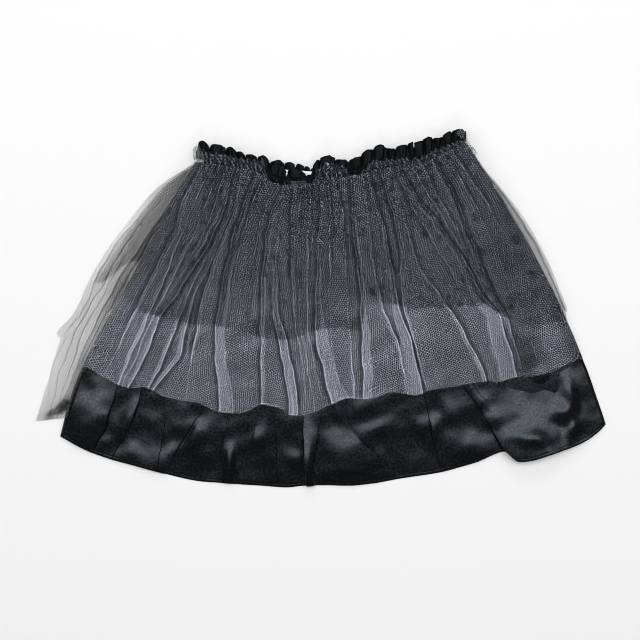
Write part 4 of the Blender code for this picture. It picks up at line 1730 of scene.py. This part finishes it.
SEAM = (
    (-116.5, 134.5), (-99.9, 133), (-86.9, 131.3), (-78.6, 128.8), (-65.6, 126.2), (-56.3, 123.6),
    (-48.4, 117.6), (-35, 112.1), (-19.3, 112.1), (-5.4, 114.9), (9.4, 118.6), (22.4, 120.4),
    (36.3, 121.8), (49.2, 127.7), (67.7, 129.3), (80.7, 129.2), (91.8, 131.2), (104.5, 137.5),
    (118.2, 143.9), (131.9, 152.8), (134.4, 154.7),
)
BACK_SEAM = (
    (-116.5, 134.8), (-98, 132.5), (-80, 130.5), (-58, 127), (-47, 123.5), (-35, 121),
    (-13, 119), (11, 122), (36, 127), (64, 130.5), (84, 135), (95, 138),
    (114, 144.5), (125, 149), (133.5, 152.5),
)

# The free edge of each satin heading: a notch, then the crest of a lobe, and so on.
FRONT_EDGE = (
    (-111.5, 146), (-107, 154.8), (-102.5, 148.2), (-96.2, 151.4), (-88.3, 146.3), (-83.2, 149.1),
    (-78.6, 143.6), (-73.9, 144.5), (-70.2, 140.3), (-64.7, 142), (-59.1, 138), (-52.6, 141.3),
    (-48, 135.1), (-42.5, 131.5), (-31.8, 122.6), (-25.2, 129.2), (-13.8, 119.6), (-9.5, 123),
    (-8, 127), (-3.5, 137), (-1, 137.4), (7.5, 141.4), (13.4, 137), (20.5, 137.2),
    (26.1, 133), (34, 139.6), (37.2, 139.2), (42.7, 146.4), (48.3, 146.8), (54.8, 151.4),
    (61, 147.6), (65, 147.4), (69, 146.6), (75, 150.8), (80.4, 150.4), (84, 153.6),
    (86.6, 148.4), (93, 154.6), (95, 155.4), (99.5, 158.6), (104, 156.6), (109, 157.2),
    (113, 158.6), (118.7, 163.4), (121.4, 161.8), (127.9, 165.6), (134.4, 160.1),
)
BACK_EDGE = (
    (-116, 144), (-110, 148), (-103, 144), (-95, 146), (-86, 142), (-78, 143),
    (-70, 138), (-62, 139), (-54, 134), (-50, 135), (-47.1, 132.5), (-39.7, 137.7),
    (-34.1, 132.5), (-28.6, 135.6), (-23.9, 130.6), (-20.2, 134.3), (-15.6, 128.8), (-13.2, 131.7),
    (-9.5, 128.1), (-2, 130), (6, 129), (14, 131), (22, 131), (30, 135),
    (38, 134), (48, 140), (56, 140), (66, 143), (76, 142), (86, 147),
    (96, 147), (106, 152), (114, 154), (124, 159), (133, 156),
)

# The top of the net frill over the front casing; it lies flat between the two middle places.
NET_EDGE = (
    (-117, 146), (-109, 146), (-104.5, 143), (-96, 142.6), (-88.7, 141), (-81.3, 139.4),
    (-73.9, 138), (-65.6, 137), (-58.2, 135.6), (-54.5, 136.8), (-51.8, 133), (-49.5, 121.5),
    (-35, 114.5), (-19.3, 114.2), (-7, 116.5), (-2.6, 127.8), (3.8, 132.5), (9.4, 133.4),
    (15.9, 132), (22.4, 129.7), (26.1, 122.8), (34.4, 122), (42.7, 129.8), (47.4, 135.4),
    (54.8, 135.4), (64, 137), (76.1, 137.6), (85.3, 137.2), (91.8, 139), (104.8, 145.6),
    (115, 148.5), (124.2, 152.2), (131.6, 154.8), (134.4, 156),
)
BACK_NET_EDGE = (
    (-116, 141), (-80, 138), (-47, 131), (-13, 127), (36, 133), (84, 142),
    (114, 151), (133, 157),
)


@dataclass(frozen=True)
class Ruffle:
    """A gathered strip along a seam, mm.

    start is how far above the seam it is sewn, floor its height at the sewn edge and at the free
    edge, swing how far its lobes rise, and overhang how far they hang over the notches, as a share.
    """

    seam: Table
    start: float
    edge: Curve
    phase: Curve
    span: tuple[float, float]
    floor: tuple[float, float]
    swing: float
    overhang: float
    seed: int
    fine: float = 0.45
    closeness: float = 1.4
    rows: int = 14
    step: float = 0.45
    curl: float = 1.5
    left_lean: float = 0.0


@dataclass(frozen=True)
class Label:
    """The blank label: its upper left corner, its size, how it slants, its height and its curl, mm."""

    left: float = -36.6
    top: float = 128.4
    width: float = 29.0
    depth: float = 8.8
    slant: float = 0.065
    floor: float = 4.4
    points: tuple[int, int] = (24, 8)
    curl: float = 0.25
    curl_turn: float = 5.0


LABEL = Label()

# Pulled-out bits of net: where each comes out, the places of its free edge, its height and closeness.
SIDE_TUFTS = (
    ((-106.5, 135), ((-117.5, 137), (-118.6, 145), (-114, 150.5), (-107.5, 148)), 6, 2.4),
    ((129, 151), ((133, 160), (138.5, 152), (145, 143), (137, 141)), 4, 3),
)
LOBE_TUFT = ((131.0, 155.0), ((124.5, 160.0), (126.5, 164.0), (130.5, 165.0), (133.0, 161.0)), 9.5, 0.9)


@dataclass(frozen=True)
class Casing:
    """A gathered elastic casing, mm.

    floor is its height at its edges and puff how far it stands up in the middle.
    """

    seam: Table
    depth: float
    floor: float
    puff: float
    seed: int


def strip(x: Array, y: Array, z: Array, closeness: Union[float, Array] = 1.0) -> Weave:
    """Make a weave from its points' places, mm, and how close its threads lie."""
    points = np.stack(np.broadcast_arrays(x, y, z), axis=2)
    return Weave(points, closeness + np.zeros(points.shape[:2]))


# The slow waves that make a frill's small ones uneven: the share of a wave, the length, mm, the start.
EDGE_DRIFTS = ((0.35, 9.0, 0.0), (0.25, 4.1, 1.0))


@dataclass
class Waist:
    """The casing, its frills and the blank label; mm, or shares."""

    casing_start: float = -108.0
    casing_step: float = 0.5
    casing_rows: int = 16
    casing_lap: float = 0.8
    strip_thickness: float = 0.3
    label_thickness: float = 0.6
    thread_thickness: float = 0.2
    back_casing: Casing = Casing(BACK_SEAM, 10.0, 1.0, 2.0, 21)
    front_casing: Casing = Casing(SEAM, 10.5, 5.0, 3.0, 23)
    # How round the headings' lobes are, below 1 for fuller ones.
    front_lobes: float = 0.48
    back_lobes: float = 0.55
    # A strip's fine waves: how many, their radians a mm, their height and how far they move it.
    fine_waves: int = 9
    fine_turns: tuple[float, float] = (0.7, 2.2)
    fine_height: float = 0.6
    fine_shift: float = 0.25
    # How a strip's lobes overhang and rise from the sewn edge to the free one.
    least_period: float = 0.2
    overhang_power: float = 1.2
    sewn_swing: float = 0.25
    swing_power: float = 0.8
    edge_drop: float = 0.7
    least_height: float = 0.4
    # How far in from a strip's left end it leans, and over what width the lean fades.
    lean_reach: float = 12.0
    lean_fade: float = 10.0
    # How close a strip's threads lie where it is flat, what a curl adds, and the least.
    flat_closeness: float = 0.35
    curl_closeness: float = 0.7
    least_closeness: float = 0.15
    # A tuft's points across and outward, where it starts, and its wave.
    tuft_points: tuple[int, int] = (18, 9)
    tuft_start: float = 0.12
    tuft_wave: float = 0.5
    tuft_turn: float = 14.0
    # The casing's wrinkles: how many, their radians a mm, their lean, and what they add to what.
    wrinkles: int = 8
    wrinkle_turns: tuple[float, float] = (0.9, 2.4)
    wrinkle_lean: float = 0.8
    wrinkle_gain: float = 1.8
    wrinkle_puff: float = 0.22
    wrinkle_lift: float = 0.15
    wrinkle_shift: float = 0.2
    # The casing's two lines of stitches: the shares of its depth, their width and their depth.
    stitch_lines: tuple[float, float] = (0.16, 0.86)
    stitch_line_width: float = 0.06
    stitch_line_depth: float = 0.5
    # Rows and columns of the front casing's points between which the label is sewn on.
    stitch_rows: tuple[int, ...] = (7, 10)
    stitch_columns: range = range(161, 189, 2)
    stitch_lift: float = 0.35

    @staticmethod
    def lobed(table: Table, roundness: float) -> tuple[Curve, Curve]:
        """Make a lobed edge from its notches and crests.

        Args:
            table: places in turn of a notch and a crest, starting and ending with a notch.
            roundness: below 1, the lobes are fuller.

        Returns:
            The edge's y at each x, and the phase of the lobes, a whole turn for each.
        """
        xs, ys = column(table, 0), column(table, 1)
        turns = [0.5 * index for index in range(len(xs))]

        def phase(x: Array) -> Array:
            """Give the lobes' phase at each x."""
            return 2.0 * math.pi * spline(xs, turns, x)

        def edge(x: Array) -> Array:
            """Give the edge's y at each x."""
            crest = 0.5 - 0.5 * np.cos(phase(x))
            notches = np.interp(x, xs[0::2], ys[0::2])
            crests = np.interp(x, xs[1::2], ys[1::2])
            return notches + (crests - notches) * np.maximum(crest, 0.0) ** roundness

        return edge, phase

    @staticmethod
    def wavy(table: Table, pitch: float, rise: float) -> tuple[Curve, Curve]:
        """Make a free edge that runs through places and has small uneven waves; see lobed."""

        def phase(x: Array) -> Array:
            """Give the waves' phase at each x."""
            waves = x / pitch
            for share, length, start in EDGE_DRIFTS:
                waves = waves + share * np.sin(x / length + start)
            return 2.0 * math.pi * waves

        def edge(x: Array) -> Array:
            """Give the edge's y at each x."""
            return along(table, x) + rise * np.sin(phase(x))

        return edge, phase

    def ruffle(self, plan: Ruffle) -> Weave:
        """Lay a gathered strip from above a seam to its free edge."""
        first, last = plan.span
        x = np.arange(first, last + 0.5 * plan.step, plan.step)[None, :]
        down = np.linspace(1.0, 0.0, plan.rows)[:, None]
        base = along(plan.seam, x) + plan.start
        turn = plan.phase(x)
        chance = np.random.default_rng(plan.seed)
        fine = np.zeros(np.broadcast(x, down).shape)
        for _ in range(self.fine_waves):
            lean = chance.normal(0.0, plan.curl)
            turns = x * chance.uniform(*self.fine_turns) + chance.uniform(*ANY_TURN)
            fine = fine + np.sin(turns + lean * down)
        fine = fine * self.fine_height
        period = np.gradient(turn, axis=1) / plan.step
        shift = -plan.overhang * np.sin(turn) / np.maximum(np.abs(period), self.least_period)
        px = x + shift * down**self.overhang_power + self.fine_shift * fine * down
        px = px - plan.left_lean * down * ease((first + self.lean_reach - x) / self.lean_fade)
        py = base + down * (plan.edge(x) - base)
        crest = 0.5 - 0.5 * np.cos(turn)
        low, high = plan.floor
        swing = self.sewn_swing + (1.0 - self.sewn_swing) * down**self.swing_power
        z = low + (high - low) * down + plan.swing * crest * swing
        z = z + plan.fine * (fine * (1.0 - 0.5 * down) + 1.0)
        z = z - self.edge_drop * np.isclose(down, 1.0)
        curls = self.flat_closeness + self.curl_closeness * np.maximum(fine, 0.0) ** 2
        closeness = np.maximum(plan.closeness * curls, self.least_closeness)
        return strip(px, py, np.maximum(z, self.least_height), closeness)

    def tuft(self, root: tuple[float, float], tips: Table, floor: float, closeness: float) -> Weave:
        """Spread a pulled-out bit of net from a root to a row of tips.

        Args:
            root: where it comes out, mm.
            tips: the free edge's places, mm.
            floor: the height it lies at.
            closeness: how close its threads lie.

        Returns:
            The tuft's weave.
        """
        places = np.linspace(0.0, 1.0, self.tuft_points[0])[None, :]
        out = np.linspace(self.tuft_start, 1.0, self.tuft_points[1])[:, None]
        knots = np.linspace(0.0, 1.0, len(tips))
        tip_x, tip_y = spline(knots, column(tips, 0), places), spline(knots, column(tips, 1), places)
        x = root[0] + (tip_x - root[0]) * out
        y = root[1] + (tip_y - root[1]) * out
        turn, wave = places * self.tuft_turn, self.tuft_wave
        z = floor + wave * np.sin(turn) * out + wave
        return strip(x, y, z, closeness * (1.0 + wave * np.sin(turn + 1.0)))

    def label(self) -> Weave:
        """Lay the blank tape that is sewn inside the back casing."""
        across = np.linspace(0.0, 1.0, LABEL.points[0])[None, :]
        down = np.linspace(0.0, 1.0, LABEL.points[1])[:, None]
        x = LABEL.left + across * LABEL.width - down * LABEL.slant * LABEL.depth
        y = LABEL.top - across * LABEL.slant * LABEL.width - down * LABEL.depth
        z = LABEL.floor + LABEL.curl * np.sin(across * LABEL.curl_turn) * (1.0 - down)
        return strip(x, y, z)

    def casing(self, plan: Casing) -> Weave:
        """Lay the gathered elastic casing, puffed between its two rows of stitches."""
        x = np.arange(self.casing_start, plan.seam[-1][0], self.casing_step)[None, :]
        up = np.linspace(1.0, 0.0, self.casing_rows)[:, None]
        base = along(plan.seam, x) - self.casing_lap
        chance = np.random.default_rng(plan.seed)
        wrinkle = np.zeros(np.broadcast(x, up).shape)
        for _ in range(self.wrinkles):
            lean = chance.normal(0.0, self.wrinkle_lean)
            turns = x * chance.uniform(*self.wrinkle_turns) + chance.uniform(*ANY_TURN)
            wrinkle = wrinkle + np.sin(turns + lean * up)
        wrinkle = wrinkle / self.wrinkles * self.wrinkle_gain
        round_it = np.sqrt(np.maximum(1.0 - (2.0 * up - 1.0) ** 2, 0.0))
        stitch = sum(np.exp(-(((up - line) / self.stitch_line_width) ** 2)) for line in self.stitch_lines)
        puff = plan.puff * round_it * (1.0 + self.wrinkle_puff * wrinkle)
        z = plan.floor + puff - self.stitch_line_depth * stitch + self.wrinkle_lift * wrinkle
        y = base + up * plan.depth + self.wrinkle_shift * wrinkle
        return strip(x, y, z)

    def stitches(self, casing: Weave) -> list[Weave]:
        """Lay two short rows of upright stitches on the front casing, where the label is sewn."""
        made = []
        for top in self.stitch_rows:
            for left in self.stitch_columns:
                patch = casing.points[top : top + 3, left : left + 2] + np.array([0.0, 0.0, self.stitch_lift])
                made.append(Weave(patch, np.ones(patch.shape[:2])))
        return made

    def strips(self) -> tuple[list[Cloth], Cloth]:
        """Lay everything at the waist.

        Returns:
            The pieces in order, and the stitches that are sewn on the front casing.
        """
        back_heading = Ruffle(
            BACK_SEAM, 4.0, *self.lobed(BACK_EDGE, self.back_lobes), span_of(BACK_EDGE), floor=(1.8, 0.9),
            swing=2.0, overhang=0.9, seed=22,
        )
        front_heading = Ruffle(
            SEAM, 8.0, *self.lobed(FRONT_EDGE, self.front_lobes), span_of(FRONT_EDGE), floor=(6.0, 4.0),
            swing=3.0, overhang=0.8, seed=24, fine=0.22, left_lean=3.0,
        )
        back_frill = Ruffle(
            BACK_SEAM, -1.0, *self.wavy(BACK_NET_EDGE, pitch=9.0, rise=0.8), span_of(BACK_EDGE),
            floor=(0.6, 0.6), swing=0.3, overhang=0.5, seed=25, fine=0.25, closeness=1.2, rows=10, step=0.9,
        )
        front_frill = Ruffle(
            SEAM, -2.2, *self.wavy(NET_EDGE, pitch=5.0, rise=1.3), span_of(NET_EDGE), floor=(8.2, 8.4),
            swing=1.0, overhang=0.8, seed=26, fine=0.7, closeness=0.85, rows=26, step=0.4, curl=12.0,
        )
        casing_back, casing_front = self.casing(self.back_casing), self.casing(self.front_casing)
        side_tufts = [self.tuft(*tuft) for tuft in SIDE_TUFTS]
        satin = (GATHERED_SATIN, Slot.SATIN)
        pieces = (
            ("waist_casing_back_cloth", satin, "waist_casing_back", [casing_back]),
            ("satin_heading_back_cloth", satin, "satin_heading_back", [self.ruffle(back_heading)]),
            ("waist_casing_front_cloth", satin, "waist_casing_front", [casing_front]),
            ("satin_heading_front_cloth", satin, "satin_heading_front", [self.ruffle(front_heading)]),
            ("net_frill_back", (PALE_NET, Slot.GREY_TULLE), "tulle_heading_back",
             [self.ruffle(back_frill), *side_tufts]),
            ("net_frill_front", (FRILL_NET, Slot.GREY_TULLE), "tulle_heading_front",
             [self.ruffle(front_frill), self.tuft(*LOBE_TUFT)]),
            ("blank_label", (WHITE_TAPE, Slot.LABEL_TAPE), "waist_label", [self.label()]),
        )
        thicknesses = {Slot.SATIN: self.strip_thickness, Slot.LABEL_TAPE: self.label_thickness}
        cloths = [
            Cloth(name, *look, (node,), weaves, thicknesses.get(look[1], 0.0), cut=CUTS[name])
            for name, look, node, weaves in pieces
        ]
        stitches = Cloth(
            "casing_stitches", GREY_THREAD, Slot.SATIN, (), self.stitches(casing_front), self.thread_thickness
        )
        return cloths, stitches


# ---------------------------------------------------------------- the studio


@dataclass(frozen=True)
class Softbox:
    """A soft studio light: its place, width and depth, m, its power, W, and if it shows in gloss."""

    name: str
    x: float
    y: float
    z: float
    width: float
    depth: float
    power: float
    in_gloss: bool = True


@dataclass
class Studio:
    """The camera above, the soft lights and the pale floor."""

    aim: Sizes = (-0.8, -11.1)
    frame_width: float = 592.6
    lens: float = 50.0
    sensor: float = 36.0
    # The height at which the view is frame_width wide, mm, and what the camera sees from and to, m.
    frame_height: float = 5.0
    clip: tuple[float, float] = (0.01, 20.0)
    # How many layers of net light may pass through.
    see_through: int = 40
    softboxes: tuple[Softbox, ...] = (
        Softbox("key", 0.0, 0.50, 1.6, 2.4, 0.9, 21.7),
        Softbox("left", -1.59, 0.0, 0.85, 1.0, 0.6, 7.0, False),
        Softbox("right", 1.59, 0.0, 0.85, 1.0, 0.6, 7.0, False),
        Softbox("front", 0.0, -1.59, 0.85, 1.0, 0.6, 7.0, False),
        Softbox("back", 0.0, 1.59, 0.85, 1.0, 0.6, 7.0),
    )
    world: Sizes = (0.06, 0.06, 0.061)
    floor_half: float = 6.0

    def camera(self) -> None:
        """Look straight down at the middle of the frame."""
        data = bpy.data.cameras.new("camera")
        data.lens, data.sensor_width = self.lens, self.sensor
        data.clip_start, data.clip_end = self.clip
        camera = bpy.data.objects.new("camera", data)
        height = self.frame_width * self.lens / self.sensor + self.frame_height
        camera.location = (self.aim[0] * MM, self.aim[1] * MM, height * MM)
        bpy.context.collection.objects.link(camera)
        bpy.context.scene.camera = camera

    def lights(self) -> None:
        """Hang the softboxes and set the room's light."""
        for box in self.softboxes:
            data = bpy.data.lights.new(box.name, "AREA")
            data.shape, data.energy = "RECTANGLE", box.power
            data.size, data.size_y = box.width, box.depth
            lamp = bpy.data.objects.new(box.name, data)
            lamp.location = (box.x, box.y, box.z)
            lamp.visible_glossy = box.in_gloss
            lamp.rotation_euler = Vector(lamp.location).to_track_quat("Z", "Y").to_euler()
            bpy.context.collection.objects.link(lamp)
        world = bpy.data.worlds.new("room")
        world.use_nodes = True
        back = world.node_tree.nodes["Background"]
        back.inputs["Color"].default_value = (*self.world, 1.0)
        bpy.context.scene.world = world

    def floor(self) -> None:
        """Lay the pale floor."""
        half = self.floor_half
        mesh = bpy.data.meshes.new("floor")
        corners = [(-half, -half, 0.0), (half, -half, 0.0), (half, half, 0.0), (-half, half, 0.0)]
        mesh.from_pydata(corners, [], [(0, 1, 2, 3)])
        mesh.materials.append(PALE_FLOOR.material())
        ground = bpy.data.objects.new("floor", mesh)
        bpy.context.collection.objects.link(ground)

    def tone(self) -> None:
        """Set how light becomes colour."""
        scene = bpy.context.scene
        scene.view_settings.view_transform = "Standard"
        scene.cycles.transparent_max_bounces = self.see_through
        scene.cycles.filter_width = 1.0


# ---------------------------------------------------------------- everything in order


def main() -> None:
    """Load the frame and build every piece."""
    logging.basicConfig(level=logging.INFO, format="%(name)s %(message)s")
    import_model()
    for seed, cloth in enumerate(Skirt(Fan(), Pile()).lay()):
        cloth.build(seed)
    strips, stitches = Waist().strips()
    sewn_on = {"waist_casing_front_cloth": [stitches.build(STITCH_SEED)]}
    for seed, strip in enumerate(strips, FIRST_STRIP_SEED):
        strip.build(seed, sewn_on.get(strip.name, ()))
    studio = Studio()
    studio.floor()
    studio.camera()
    studio.lights()
    studio.tone()


if __name__ == "__main__":
    main()
